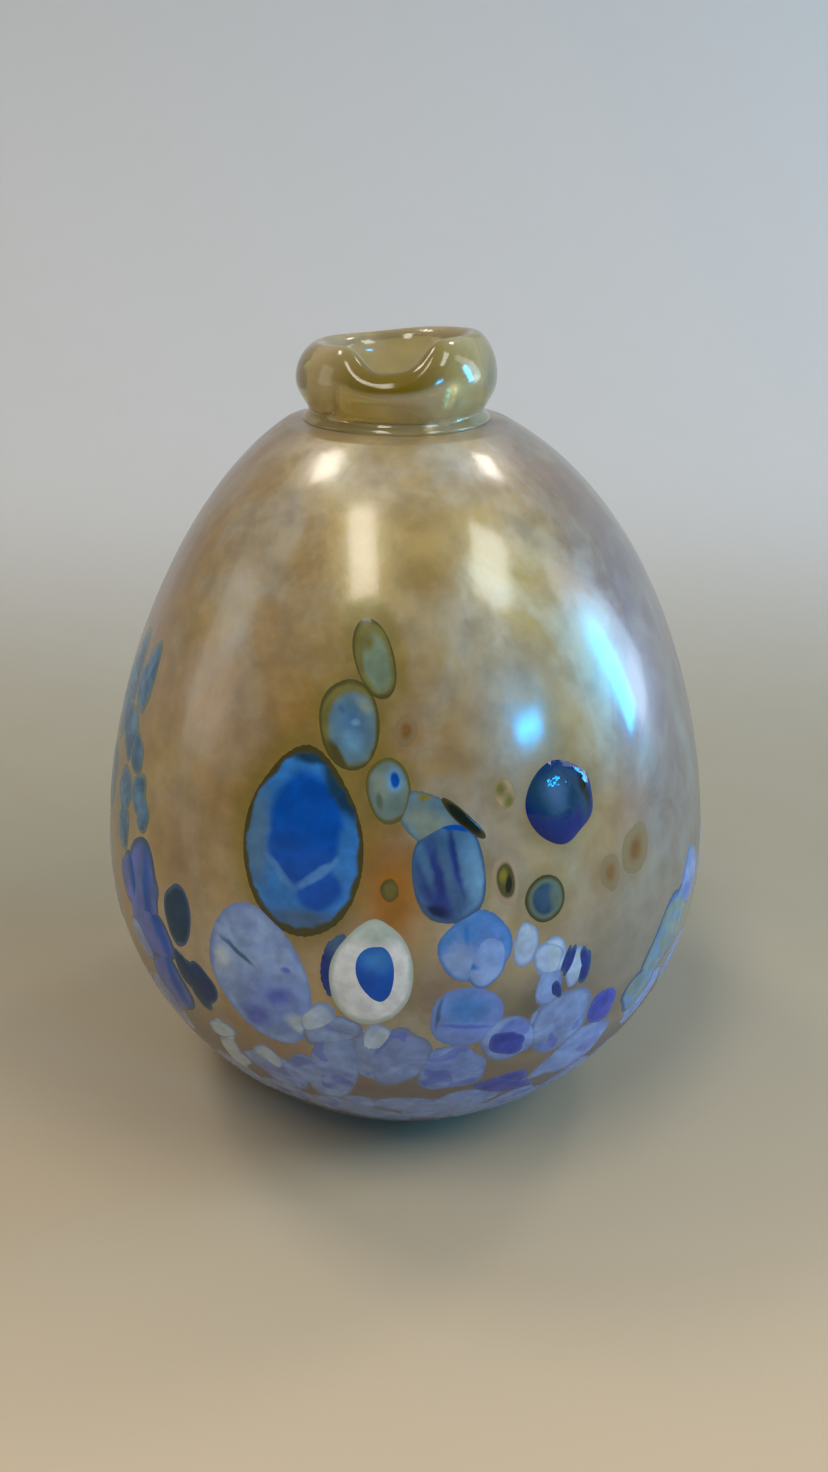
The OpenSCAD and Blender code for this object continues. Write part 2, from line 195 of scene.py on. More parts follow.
class VaseColours(bpy.types.PropertyGroup):
    """Colours of the glasses."""

    tan: colour("Tan", "The bubble's glass", (0.35, 0.25, 0.12))
    gold: colour("Gold", "Golden clouds in the bubble", (0.37, 0.25, 0.085))
    # The silver colour serves the glass's own mottled lustre and also painted sheen in vertical
    # runs.
    silver: colour("Silver", "Pale lustre on the bubble", (0.40, 0.38, 0.31))
    mauve: colour("Mauve", "Rosy brown of the sides", (0.17, 0.105, 0.075))
    amber: colour("Amber", "Amber round the chips", (0.33, 0.18, 0.03))
    warm: colour("Warm", "Burnt amber between the chips", (0.32, 0.115, 0.0))
    milky: colour("Milky", "Milky glass between the low chips", (0.19, 0.185, 0.215))
    burnt: colour("Burnt", "Small burnt patches", (0.20, 0.095, 0.03))
    thin: colour("Thin", "Pale thin wall at the lower right", (0.40, 0.31, 0.20))
    clear: colour("Clear", "Pale glass in the lower wall", (0.21, 0.155, 0.085))
    lip: colour("Lip", "The collar's olive glass", (0.82, 0.69, 0.32))
    # The dark lip colour is painted shade: the dark band that internal reflection shows along the
    # rim's dip.
    lip_dip_shade: colour("Dark lip", "The collar along its dip", (0.17, 0.115, 0.004))
    halo: colour("Halo", "Stain in the wall round a chip", (0.21, 0.14, 0.018))
    olive: colour("Olive", "Reacted rim round a chip", (0.15, 0.135, 0.035))
    yellow_olive: colour("Yellow olive", "Brighter olive", (0.20, 0.17, 0.02))
    dark_olive: colour("Dark olive", "Darker olive", (0.075, 0.068, 0.02))
    dark_green: colour("Dark green", "Grey green spots", (0.10, 0.14, 0.10))
    rose_tan: colour("Rose tan", "Pale tan round the sliver", (0.45, 0.32, 0.20))
    ink: colour("Ink", "Darkest chips", (0.008, 0.014, 0.008))
    strong_blue: colour("Strong blue", "Core of the eye chips", (0.001, 0.070, 0.36))
    mid_blue: colour("Middle blue", "Body of the eye chips", (0.03, 0.17, 0.46))
    sky_blue: colour("Sky blue", "Swirls and light blue chips", (0.065, 0.20, 0.47))
    steel_blue: colour("Steel blue", "Greyed blue", (0.13, 0.28, 0.42))
    slate_blue: colour("Slate blue", "Darker greyed blue", (0.055, 0.12, 0.22))
    dark_teal: colour("Dark teal", "Blue black glass", (0.010, 0.045, 0.090))
    sea_grey: colour("Sea grey", "Grey green chips", (0.19, 0.24, 0.19))
    oval_green: colour("Oval green", "Inside of the top oval", (0.155, 0.205, 0.13))
    fold_blue: colour("Fold blue", "The folded chip", (0.06, 0.15, 0.27))
    deep_slate: colour("Deep slate", "Heart of the round chip", (0.025, 0.07, 0.12))
    ink_blue: colour("Ink blue", "Darkest blue", (0.004, 0.014, 0.06))
    slate_grey: colour("Slate grey", "Greyed blue green", (0.10, 0.18, 0.22))
    pale_grey: colour("Pale grey", "Milky grey glass", (0.38, 0.44, 0.38))
    periwinkle: colour("Periwinkle", "Periwinkle chips", (0.155, 0.235, 0.50))
    pale_blue: colour("Pale blue", "Paler periwinkle", (0.23, 0.335, 0.55))
    steel_grey: colour("Steel grey", "Greyer chips of the band", (0.19, 0.24, 0.36))
    violet_blue: colour("Violet blue", "Blue violet spots", (0.09, 0.13, 0.44))
    violet: colour("Violet", "Violet chips", (0.05, 0.07, 0.36))
    head_grey: colour("Head grey", "Grey green of the spotted chip", (0.135, 0.195, 0.17))
    white: colour("White", "White glass", (0.60, 0.61, 0.58))
    pale_white: colour("Pale white", "Blueish white glass", (0.38, 0.46, 0.52))
    navy: colour("Navy", "Dark blue glass", (0.015, 0.035, 0.17))
    cobalt: colour("Cobalt", "The raised shiny chip", (0.0, 0.018, 0.13))
    floor: colour("Floor", "The floor", (0.54, 0.40, 0.25))
    floor_far: colour("Far floor", "The floor behind the vase", (0.27, 0.24, 0.17))
    backdrop: colour("Backdrop", "The backdrop", (0.45, 0.43, 0.405))


class VaseStage(bpy.types.PropertyGroup):
    """Camera and lens."""

    camera_back: length("Camera back", "Distance of the camera in front", 163.3 * MM)
    camera_side: length("Camera side", "Offset of the camera to the right", 1.1 * MM)
    camera_height: length("Camera height", "Height of the camera", 133.8 * MM)
    camera_pitch: FloatProperty(name="Camera pitch", description="Downward tilt",
                                default=math.radians(25.8), subtype="ANGLE")
    camera_roll: FloatProperty(name="Camera roll", description="Sideways tilt",
                               default=math.radians(0.48), subtype="ANGLE")
    lens: FloatProperty(name="Lens", description="Focal length in millimetres",
                        default=29.35)


# ------------------------------------------------------------------- surfaces

def swell(part, powers):
    """A superellipse quarter: (1 - part^n)^(1/m), from 1 at part 0 to 0 at part 1."""
    inside = np.clip(1 - np.clip(part, 0, 1) ** powers[0], 0, 1)
    return inside ** (1 / powers[1])


def outline_radius(z, shape):
    """Radius of the bubble at height z: one superellipse quarter widens the foot ring up
    to the belly, and a second one closes the dome above it."""
    low = shape.foot_radius + (shape.belly_radius - shape.foot_radius) * swell(
        (shape.belly_height - z) / shape.belly_height, LOWER_POWERS)
    high = shape.belly_radius * swell(
        (z - shape.belly_height) / shape.dome_height, UPPER_POWERS)
    return np.where(z < shape.belly_height, low, high)


def neck_offset(z, shape):
    """Sideways lean of the axis: the collar's offset times a smooth rise over the top."""
    lean = (LIP_LOW.x + LIP_HIGH.x) / 2
    rise = np.clip((z - 70 * MM) / (BODY_HIGH.z - 70 * MM), 0, 1)
    return lean * rise ** 3


def unevenness(azimuth, z, shape):
    """Three low waves round the bubble that turn with height, so that no ring is true."""
    turn = z / (60 * MM)
    waves = (np.sin(2 * azimuth + 1.3 + turn) + 0.6 * np.sin(3 * azimuth - 2 * turn)
             + 0.35 * np.sin(5 * azimuth + 3 * turn + 0.7))
    fade = np.clip(z / (15 * MM), 0, 1) * np.clip((BODY_HIGH.z - z) / (6 * MM), 0, 1)
    return shape.wobble * waves * fade


def wall_points(azimuth, z, proud, shape):
    """Points on the bubble's outside at an azimuth from the front and a height, moved
    out by proud along the outline's normal."""
    step = 0.2 * MM
    slope = (outline_radius(z + step, shape) - outline_radius(z - step, shape)) / (2 * step)
    slope = np.clip(slope, -6, 6)
    size = np.sqrt(1 + slope ** 2)
    radius = outline_radius(z, shape) + unevenness(azimuth, z, shape) + proud / size
    x = radius * np.sin(azimuth) + neck_offset(z, shape)
    y = -radius * np.cos(azimuth)
    return np.stack([x, y, z - proud * slope / size], axis=-1)


def closed_spline(knots, count):
    """A smooth closed curve through knots: each stretch is the cubic whose ends' slopes
    are half the step between the neighbouring knots."""
    place = np.arange(count) * len(knots) / count
    i = np.floor(place).astype(int)
    t = (place - i)[:, None]
    p0, p1, p2, p3 = (knots[(i + k) % len(knots)] for k in (-1, 0, 1, 2))
    return 0.5 * (2 * p1 + (p2 - p0) * t + (2 * p0 - 5 * p1 + 4 * p2 - p3) * t ** 2
                  + (3 * p1 - 3 * p2 + p3 - p0) * t ** 3)


def grid_faces(rows, columns, closed_columns=True):
    """Corner indices of the quads of a grid with its last column joined to its first."""
    i, j = np.meshgrid(np.arange(rows - 1),
                       np.arange(columns if closed_columns else columns - 1), indexing="ij")
    k = (j + 1) % columns
    quads = np.stack([i * columns + j, i * columns + k,
                      (i + 1) * columns + k, (i + 1) * columns + j], axis=-1)
    return quads.reshape(-1, 4)


def middle_fan(middle, first, count, outward=True):
    """Triangles from a middle point to the ring of points that starts at first."""
    k = np.arange(count)
    after = (k + 1) % count
    pair = (first + after, first + k) if outward else (first + k, first + after)
    return np.stack([0 * k + middle, *pair], axis=1)


def mesh_piece(name, points, quads, triangles=None):
    """A new object at the origin whose mesh holds these points and faces."""
    triangles = np.zeros((0, 3), int) if triangles is None else triangles
    mesh = bpy.data.meshes.new(name)
    corners = np.concatenate([quads.ravel(), triangles.ravel()]).astype(np.int32)
    sizes = np.concatenate([np.full(len(quads), 4), np.full(len(triangles), 3)])
    starts = np.concatenate([[0], np.cumsum(sizes)[:-1]]).astype(np.int32)
    mesh.vertices.add(len(points))
    mesh.vertices.foreach_set("co", np.asarray(points, np.float32).ravel())
    mesh.loops.add(len(corners))
    mesh.loops.foreach_set("vertex_index", corners)
    mesh.polygons.add(len(sizes))
    mesh.polygons.foreach_set("loop_start", starts)
    mesh.polygons.foreach_set("use_smooth", np.ones(len(sizes), bool))
    mesh.update(calc_edges=True)
    mesh.validate()
    piece = bpy.data.objects.new(name, mesh)
    bpy.context.scene.collection.objects.link(piece)
    return piece


def point_attribute(piece, name, values):
    """Stores one number per vertex for the materials."""
    attribute = piece.data.attributes.new(name, "FLOAT", "POINT")
    attribute.data.foreach_set("value", np.asarray(values, np.float32).ravel())


def uv_from_points(piece, uv):
    """Gives the piece a UV map from one pair of numbers per vertex."""
    layer = piece.data.uv_layers.new(name="UVMap")
    index = np.zeros(len(piece.data.loops), np.int32)
    piece.data.loops.foreach_get("vertex_index", index)
    layer.data.foreach_set("uv", np.asarray(uv, np.float32)[index].ravel())


def adopt(piece, material, slot, *nodes):
    """Gives the piece its material and its body, and hides the CAD nodes that it stands for."""
    piece.data.materials.append(material)
    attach(piece, "root")
    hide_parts(*nodes)
    return piece


# --------------------------------------------------------------- chip places

def solids_of(node):
    """The separate solids of a CAD node, as arrays of points: merged corners pass their
    lowest label to their neighbours until nothing changes."""
    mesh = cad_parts[node].data
    points = np.zeros(len(mesh.vertices) * 3, np.float32)
    mesh.vertices.foreach_get("co", points)
    points = points.reshape(-1, 3).astype(float)
    mesh.calc_loop_triangles()
    corners = np.zeros(len(mesh.loop_triangles) * 3, np.int32)
    mesh.loop_triangles.foreach_get("vertices", corners)
    keys = np.round(points / (0.01 * MM)).astype(int)
    _, same = np.unique(keys, axis=0, return_inverse=True)
    faces = same.reshape(-1)[corners].reshape(-1, 3)
    label = np.arange(faces.max() + 1)
    while True:
        low = label[faces].min(axis=1)
        new = label.copy()
        np.minimum.at(new, faces.ravel(), np.repeat(low, 3))
        if (new == label).all():
            break
        label = new
    mine = label[same.reshape(-1)]
    return [points[mine == k] for k in np.unique(mine)]


def chip_places(node, shape):
    """Where each chip of a node lies on the wall: its azimuth and height, half its width
    and length, and its lean, from the principal axes of its outer corners."""
    found = []
    for points in solids_of(node):
        radius = np.hypot(points[:, 0], points[:, 1])
        skin = radius > outline_radius(points[:, 2], shape) - 0.25 * MM
        skin = skin if skin.sum() > 6 else np.ones(len(points), bool)
        azimuth = np.arctan2(points[skin, 0], -points[skin, 1])
        centre_azimuth = np.arctan2(np.sin(azimuth).mean(), np.cos(azimuth).mean())
        turn = (azimuth - centre_azimuth + math.pi) % (2 * math.pi) - math.pi
        z = points[skin, 2]
        step = 0.5 * MM
        middle = (z.min() + z.max()) / 2
        slope = float(outline_radius(middle + step, shape)
                      - outline_radius(middle - step, shape)) / (2 * step)
        flat = np.stack([turn * radius[skin].mean(),
                         (z - middle) * math.sqrt(1 + slope ** 2)], axis=1)
        flat = np.unique(np.round(flat / (0.02 * MM)), axis=0) * 0.02 * MM
        flat_centre = (flat.min(axis=0) + flat.max(axis=0)) / 2
        spread = flat - flat_centre
        _, axes = np.linalg.eigh(spread.T @ spread)
        long_axis = axes[:, 1] * (1 if axes[1, 1] >= 0 else -1)
        wide_axis = np.array([long_axis[1], -long_axis[0]])
        along, across = spread @ long_axis, spread @ wide_axis
        found.append({
            "azimuth": centre_azimuth + flat_centre[0] / radius[skin].mean(),
            "z": middle + flat_centre[1] / math.sqrt(1 + slope ** 2),
            "wide": float(across.max() - across.min()) / 2,
            "long": float(along.max() - along.min()) / 2,
            "lean": math.atan2(long_axis[0], long_axis[1]),
        })
    return sorted(found, key=lambda place: (round(place["azimuth"], 3), place["z"]))


def heights_along(shape):
    """Heights and the outline's length up to each of them."""
    z = np.linspace(0.5 * MM, BODY_HIGH.z - 1.5 * MM, 1200)
    r = outline_radius(z, shape)
    run = np.concatenate([[0], np.cumsum(np.hypot(np.diff(z), np.diff(r)))])
    return z, run


def on_wall(place, across, along, shape):
    """Azimuth and height of points given in a chip's own plane: they are turned by its
    lean, then laid along the ring and along the outline through its middle."""
    z, run = heights_along(shape)
    side = across * math.cos(place["lean"]) + along * math.sin(place["lean"])
    up = along * math.cos(place["lean"]) - across * math.sin(place["lean"])
    height = np.interp(np.interp(place["z"], z, run) + up, run, z)
    azimuth = place["azimuth"] + side / outline_radius(height, shape)
    return azimuth, height


def ragged(angle, seed, amount):
    """A melted outline: one plus four waves of falling size round the chip."""
    rng = np.random.default_rng(seed)
    phase = rng.uniform(0, 2 * math.pi, 4)
    size = rng.uniform(0.5, 1, 4) * np.array([1, 0.7, 0.45, 0.3])
    return 1 + amount * sum(size[k] * np.sin((k + 2) * angle + phase[k]) for k in range(4))


def outline_at(angle, radii):
    """Relative radius at an angle from the chip's top, on a smooth closed curve through
    radii given at equal angles to the right."""
    fine = closed_spline(np.array(radii, float)[:, None], 720)[:, 0]
    return np.interp(angle % (2 * math.pi), np.arange(721) * math.pi / 360,
                     np.append(fine, fine[0]))


def lens_faces(rings, spokes):
    """Quads between the rings of the dome and of its underside, which share the outermost
    ring, and the fans of triangles at the two middles."""
    k = np.arange(spokes)
    after = (k + 1) % spokes

    def ring(i):
        """First index of a ring on the dome."""
        return 1 + i * spokes

    def under(i):
        """First index of a ring on the underside."""
        return ring(rings + i) if i < rings - 1 else ring(rings - 1)

    top = [np.stack([ring(i) + k, ring(i) + after, ring(i + 1) + after, ring(i + 1) + k],
                    axis=1) for i in range(rings - 1)]
    low = [np.stack([under(i) + k, under(i + 1) + k, under(i + 1) + after, under(i) + after],
                    axis=1) for i in range(rings - 1)]
    fans = [middle_fan(0, ring(0), spokes),
            middle_fan(ring(2 * rings - 1), under(0), spokes, outward=False)]
    return np.concatenate(top + low), np.concatenate(fans)


def lens_surface(place, shape, seed=0, rise=None, grow=1.0, taper=0.0, rough=0.05,
                 rings=14, spokes=48, outline=None, stretch=(1.0, 1.0), shift=(0.0, 0.0)):
    """A chip as a closed lens that hugs the wall: rings of points from its middle to its
    ragged edge, once on a low dome over the wall and once on a deeper dome in it."""
    rise = shape.chip_rise if rise is None else rise
    share = np.sin(np.linspace(0, 1, rings + 1)[1:] * math.pi / 2)
    angle = np.arange(spokes) * 2 * math.pi / spokes
    rho, theta = np.meshgrid(share, angle, indexing="ij")
    edge = ragged(theta, seed, rough)
    if outline is not None:
        edge = edge * outline_at(theta, outline)
    flat_x = rho * np.sin(theta) * edge * (1 - taper * np.cos(theta))
    flat_y = rho * np.cos(theta) * edge
    wide, tall = place["wide"] * grow * stretch[0], place["long"] * grow * stretch[1]
    mm_place = np.stack([flat_x * wide, flat_y * tall], axis=-1) / MM
    azimuth, height = on_wall(place, flat_x * wide + shift[0], flat_y * tall + shift[1],
                              shape)
    dome = 1 - rho ** 4
    top = wall_points(azimuth, height, rise * dome - TUCK, shape)
    low = wall_points(azimuth, height, -TUCK - shape.chip_depth * (1 - rho ** 6), shape)
    flat = np.stack([rho * np.sin(theta), rho * np.cos(theta)], axis=-1)
    centre_azimuth, centre_height = on_wall(place, np.full(1, shift[0]),
                                            np.full(1, shift[1]), shape)
    top_centre = wall_points(centre_azimuth, centre_height, rise, shape)
    low_centre = wall_points(centre_azimuth, centre_height, -shape.chip_depth, shape)
    points = np.concatenate([top_centre, top.reshape(-1, 3),
                             low[:-1].reshape(-1, 3), low_centre])
    uv = np.concatenate([np.zeros((1, 2)), flat.reshape(-1, 2),
                         flat[:-1].reshape(-1, 2), np.zeros((1, 2))])
    spots = np.concatenate([np.zeros((1, 2)), mm_place.reshape(-1, 2),
                            mm_place[:-1].reshape(-1, 2), np.zeros((1, 2))])
    quads, fans = lens_faces(rings, spokes)
    return points, quads, fans, uv, spots


def joined_lenses(name, lenses, chip_numbers):
    """One piece from several lens surfaces, with their own numbers in an attribute."""
    start = 0
    points, quads, fans, uvs, numbers, spots = [], [], [], [], [], []
    for number, (p, q, f, uv, spot) in enumerate(lenses):
        points.append(p)
        quads.append(q + start)
        fans.append(f + start)
        uvs.append(uv)
        spots.append(spot)
        numbers.append(np.full(len(p), chip_numbers[number]))
        start += len(p)
    piece = mesh_piece(name, np.concatenate(points), np.concatenate(quads),
                       np.concatenate(fans))
    uv_from_points(piece, np.concatenate(uvs))
    point_attribute(piece, "chip_number", np.concatenate(numbers))
    flat = np.concatenate(spots)
    place = piece.data.attributes.new("chip_place", "FLOAT_VECTOR", "POINT")
    place.data.foreach_set("vector", np.column_stack([flat, 0 * flat[:, 0]]).astype(
        np.float32).ravel())
    return piece


# ------------------------------------------------------------------ materials

class Nodes:
    """A short way to wire one Principled material."""

    def __init__(self, name):
        self.material = bpy.data.materials.new(name)
        self.material.use_nodes = True
        self.tree = self.material.node_tree
        self.shader = next(n for n in self.tree.nodes if n.type == "BSDF_PRINCIPLED")
        self.output = next(n for n in self.tree.nodes if n.type == "OUTPUT_MATERIAL")

    def add(self, kind, inputs=None, **settings):
        node = self.tree.nodes.new(kind)
        for key, value in settings.items():
            setattr(node, key, value)
        for key, value in (inputs or {}).items():
            self.join(value, node.inputs[key])
        return node

    def join(self, value, socket):
        """Links a socket, or sets a plain number or colour."""
        if isinstance(value, bpy.types.NodeSocket):
            self.tree.links.new(value, socket)
        elif socket.type == "VECTOR" and not isinstance(value, (int, float)):
            socket.default_value = value[:3]
        else:
            socket.default_value = value

    def coordinates(self):
        return self.add("ShaderNodeTexCoord").outputs["Object"]

    def uv(self):
        return self.add("ShaderNodeUVMap", uv_map="UVMap").outputs["UV"]

    def noise(self, vector, scale, detail=3.0, roughness=0.5, distortion=0.0):
        return self.add("ShaderNodeTexNoise", {
            "Vector": vector, "Scale": scale, "Detail": detail, "Roughness": roughness,
            "Distortion": distortion}).outputs["Fac"]

    def noise_colour(self, vector, scale, detail=2.0):
        return self.add("ShaderNodeTexNoise", {
            "Vector": vector, "Scale": scale, "Detail": detail}).outputs["Color"]

    def math(self, operation, a, b=0.0, clamp=False):
        node = self.add("ShaderNodeMath", operation=operation, use_clamp=clamp)
        self.join(a, node.inputs[0])
        self.join(b, node.inputs[1])
        return node.outputs[0]

    def vector(self, operation, a, b=(0, 0, 0), scale=None):
        node = self.add("ShaderNodeVectorMath", operation=operation)
        self.join(a, node.inputs[0])
        self.join(b, node.inputs[1])
        if scale is not None:
            self.join(scale, node.inputs["Scale"])
        return node.outputs["Value" if operation in ("LENGTH", "DISTANCE") else "Vector"]

    def span(self, value, low, high, to_low=0.0, to_high=1.0):
        """Maps low..high to to_low..to_high with soft ends."""
        node = self.add("ShaderNodeMapRange", {
            "Value": value, "From Min": low, "From Max": high,
            "To Min": to_low, "To Max": to_high}, interpolation_type="SMOOTHSTEP")
        return node.outputs["Result"]

    def mix(self, factor, a, b):
        node = self.add("ShaderNodeMix", data_type="RGBA")
        self.join(factor, node.inputs["Factor"])
        self.join(a, node.inputs[6])
        self.join(b, node.inputs[7])
        return node.outputs[2]

    def attribute(self, name):
        return self.add("ShaderNodeAttribute", attribute_name=name).outputs["Fac"]

    def patch(self, place, centre, size, turn=0.0, soft=0.3):
        """A soft ellipse: 1 inside, falling to 0 over soft times its size at its edge."""
        moved = self.vector("SUBTRACT", place, (*centre, 0))
        turned = self.add("ShaderNodeVectorRotate", {
            "Vector": moved, "Axis": (0, 0, 1), "Angle": -math.radians(turn)},
            rotation_type="AXIS_ANGLE").outputs["Vector"]
        scaled = self.vector("MULTIPLY", turned, (1 / size[0], 1 / size[1], 0))
        return self.span(self.vector("LENGTH", scaled), 1 - soft, 1 + soft, 1.0, 0.0)

    def shaken(self, place, scale, amount):
        """A fine noise from -0.5 to 0.5, and the chip's own place in mm moved by it."""
        shake = self.vector("SUBTRACT", self.noise_colour(place, scale, detail=3.0),
                            (0.5, 0.5, 0.5))
        spot = self.add("ShaderNodeAttribute", attribute_name="chip_place").outputs["Vector"]
        return shake, self.vector("ADD", spot, self.vector("SCALE", shake, scale=amount))

    def painted(self, colour, spot, patches):
        """Lays patches over a colour: (colour, centre, size, turn, softness) in mm."""
        for patch_colour, centre, size, turn, soft in patches:
            colour = self.mix(self.patch(spot, centre, size, turn, soft), colour,
                              rgba(patch_colour))
        return colour

    def stained(self, colour, stains):
        """Mixes in the colour of each attribute by its strength."""
        for name, stain in stains:
            colour = self.mix(self.attribute(name), colour, rgba(stain))
        return colour

    def bump(self, height, strength, distance):
        node = self.add("ShaderNodeBump", {
            "Height": height, "Strength": strength, "Distance": distance})
        self.tree.links.new(node.outputs["Normal"], self.shader.inputs["Normal"])

    def finish(self, **sockets):
        for key, value in sockets.items():
            self.join(value, self.shader.inputs[key.replace("_", " ")])
        return self.material


def rgba(value):
    return (*value, 1.0)


def bubble_glass(colours):
    """Amber glass under a mottled silver lustre with vertical runs of painted sheen, warmer near the
    chips, paler below.
    """
    n = Nodes("lustred_amber_glass")
    place = n.coordinates()
    drawn = n.vector("MULTIPLY", place, (1.0, 1.0, 0.6))
    clouds = n.noise(drawn, 95.0, detail=7.0, roughness=0.62, distortion=0.8)
    patches = n.noise(place, 45.0, detail=3.0, roughness=0.5, distortion=0.3)
    grain = n.noise(place, 240.0, detail=5.0, roughness=0.6)
    base = n.mix(n.span(patches, 0.35, 0.62), rgba(colours.tan), rgba(colours.gold))
    # Painted sheen: vertical runs of pale silver stand in for streaks of reflected light; the clouds
    # are the glass's own mottled lustre.
    sheen_runs = n.noise(n.vector("MULTIPLY", place, (1.0, 1.0, 0.14)), 75.0, detail=4.0)
    lustre_and_painted_sheen = n.math("ADD", n.math("MULTIPLY", n.span(clouds, 0.4, 0.64), 0.45),
                       n.math("MULTIPLY", n.span(sheen_runs, 0.48, 0.66), 0.4))
    base = n.mix(lustre_and_painted_sheen, base, rgba(colours.silver))
    base = n.mix(n.math("MULTIPLY", n.attribute("mauve"), n.span(clouds, 0.38, 0.62, 1.0, 0.55)),
                 base, rgba(colours.mauve))
    base = n.mix(n.math("MULTIPLY", n.attribute("amber"), n.span(clouds, 0.3, 0.6, 1.0, 0.6)),
                 base, rgba(colours.amber))
    base = n.stained(base, [("clear", colours.clear), ("thin", colours.thin),
                            ("milky", colours.milky), ("halo", colours.halo),
                            ("warm", colours.warm)])
    base = n.vector("SCALE", base, scale=n.span(grain, 0.3, 0.7, 0.86, 1.12))
    bare = n.math("MAXIMUM", n.attribute("warm"),
                  n.math("MAXIMUM", n.attribute("clear"), n.attribute("halo")))
    lustre = n.math("MULTIPLY", n.span(clouds, 0.35, 0.65, 0.1, 0.26),
                    n.math("SUBTRACT", 1.0, bare))
    hammered = n.noise(drawn, 150.0, detail=4.0, roughness=0.55, distortion=0.4)
    n.bump(hammered, 0.42, 0.3 * MM)
    return n.finish(Base_Color=base, Metallic=lustre,
                    Roughness=n.span(grain, 0.3, 0.7, 0.3, 0.44),
                    IOR=1.5, Transmission_Weight=n.math(
                        "ADD", 0.1, n.math("MULTIPLY", n.attribute("clear"), 0.3)),
                    Coat_Weight=n.math("SUBTRACT", 0.7, n.math("MULTIPLY", bare, 0.3)),
                    Coat_Roughness=n.span(clouds, 0.35, 0.65, 0.11, 0.2),
                    Thin_Film_Thickness=n.span(patches, 0.3, 0.7, 350.0, 410.0),
                    Thin_Film_IOR=1.4)


def lip_glass(colours):
    """Olive glass, faintly cloudy, that darkens where it is thick, with painted shade along the
    rim's dip standing in for the dark band of internal reflection.
    """
    n = Nodes("olive_lip_glass")
    place = n.coordinates()
    streaks = n.noise(place, 120.0, detail=3.0, distortion=0.5)
    n.bump(n.noise(place, 130.0, detail=1.0), 0.12, 0.3 * MM)
    base = n.mix(n.span(streaks, 0.35, 0.65), rgba(colours.lip), (0.72, 0.60, 0.36, 1))
    # Painted shade: the dip attribute mixes in the dark lip colour here and lowers the transmission
    # below, along the crest near the dip.
    base = n.mix(n.attribute("dip"), base, rgba(colours.lip_dip_shade))
    absorb = n.add("ShaderNodeVolumeAbsorption",
                   {"Color": (0.64, 0.50, 0.10, 1), "Density": 80.0})
    n.tree.links.new(absorb.outputs["Volume"], n.output.inputs["Volume"])
    return n.finish(Base_Color=base, Roughness=n.span(streaks, 0.3, 0.7, 0.08, 0.14), IOR=1.46,
                    Specular_IOR_Level=0.35,
                    Transmission_Weight=n.math(
                        "SUBTRACT", n.span(streaks, 0.3, 0.7, 0.85, 0.66),
                        n.math("MULTIPLY", n.attribute("dip"), 0.5)))


def chip_glass(name, base, rim, patches=(), swirl=None, warp=0.6, edge=(0.84, 1.0),
               ring=None, vary=None, swirl_share=0.5, shine=0.1, see_through=0.3, spots=None):
    """Melted chip glass: a base colour with swirls, soft painted patches that a slow noise
    warps, and a reacted rim. Patches are (colour, centre, size, turn, softness) in mm."""
    n = Nodes(name)
    place = n.coordinates()
    shake, spot = n.shaken(place, 330.0, warp * 2.6)
    edge_distance = n.vector("LENGTH", n.vector(
        "ADD", n.vector("SCALE", n.uv(), scale=1.09), n.vector("SCALE", shake, scale=0.2)))
    curl = n.noise(place, 150.0, detail=4.0, roughness=0.55, distortion=1.6)
    colour = rgba(base)
    if vary is not None:
        colour = n.mix(n.attribute("chip_number"), colour, rgba(vary))
    if swirl is not None:
        colour = n.mix(n.math("MULTIPLY", n.span(curl, 0.42, 0.62), swirl_share), colour,
                       rgba(swirl))
    if spots is not None:
        blots = n.noise(place, 230.0, detail=1.0, roughness=0.4, distortion=0.6)
        colour = n.mix(n.math("MULTIPLY", n.span(blots, 0.56, 0.64), 0.65), colour,
                       rgba(spots))
    clouds = n.span(n.noise(place, 420.0, detail=3.0), 0.3, 0.7, 0.82, 1.12)
    colour = n.vector("SCALE", n.painted(colour, spot, patches), scale=clouds)
    if ring is not None:
        colour = n.mix(n.span(edge_distance, edge[0] - 0.22, edge[0]), colour, rgba(ring))
    outer = n.span(edge_distance, edge[0], edge[1])
    colour = n.mix(outer, colour, rgba(rim))
    n.bump(n.noise(place, 300.0, detail=2.0), 0.12, 0.12 * MM)
    return n.finish(Base_Color=colour, Roughness=n.span(curl, 0.3, 0.7, shine, shine + 0.16),
                    IOR=1.42, Specular_IOR_Level=0.3,
                    Transmission_Weight=n.math("MULTIPLY", outer, see_through))


# ------------------------------------------------------------------ operators

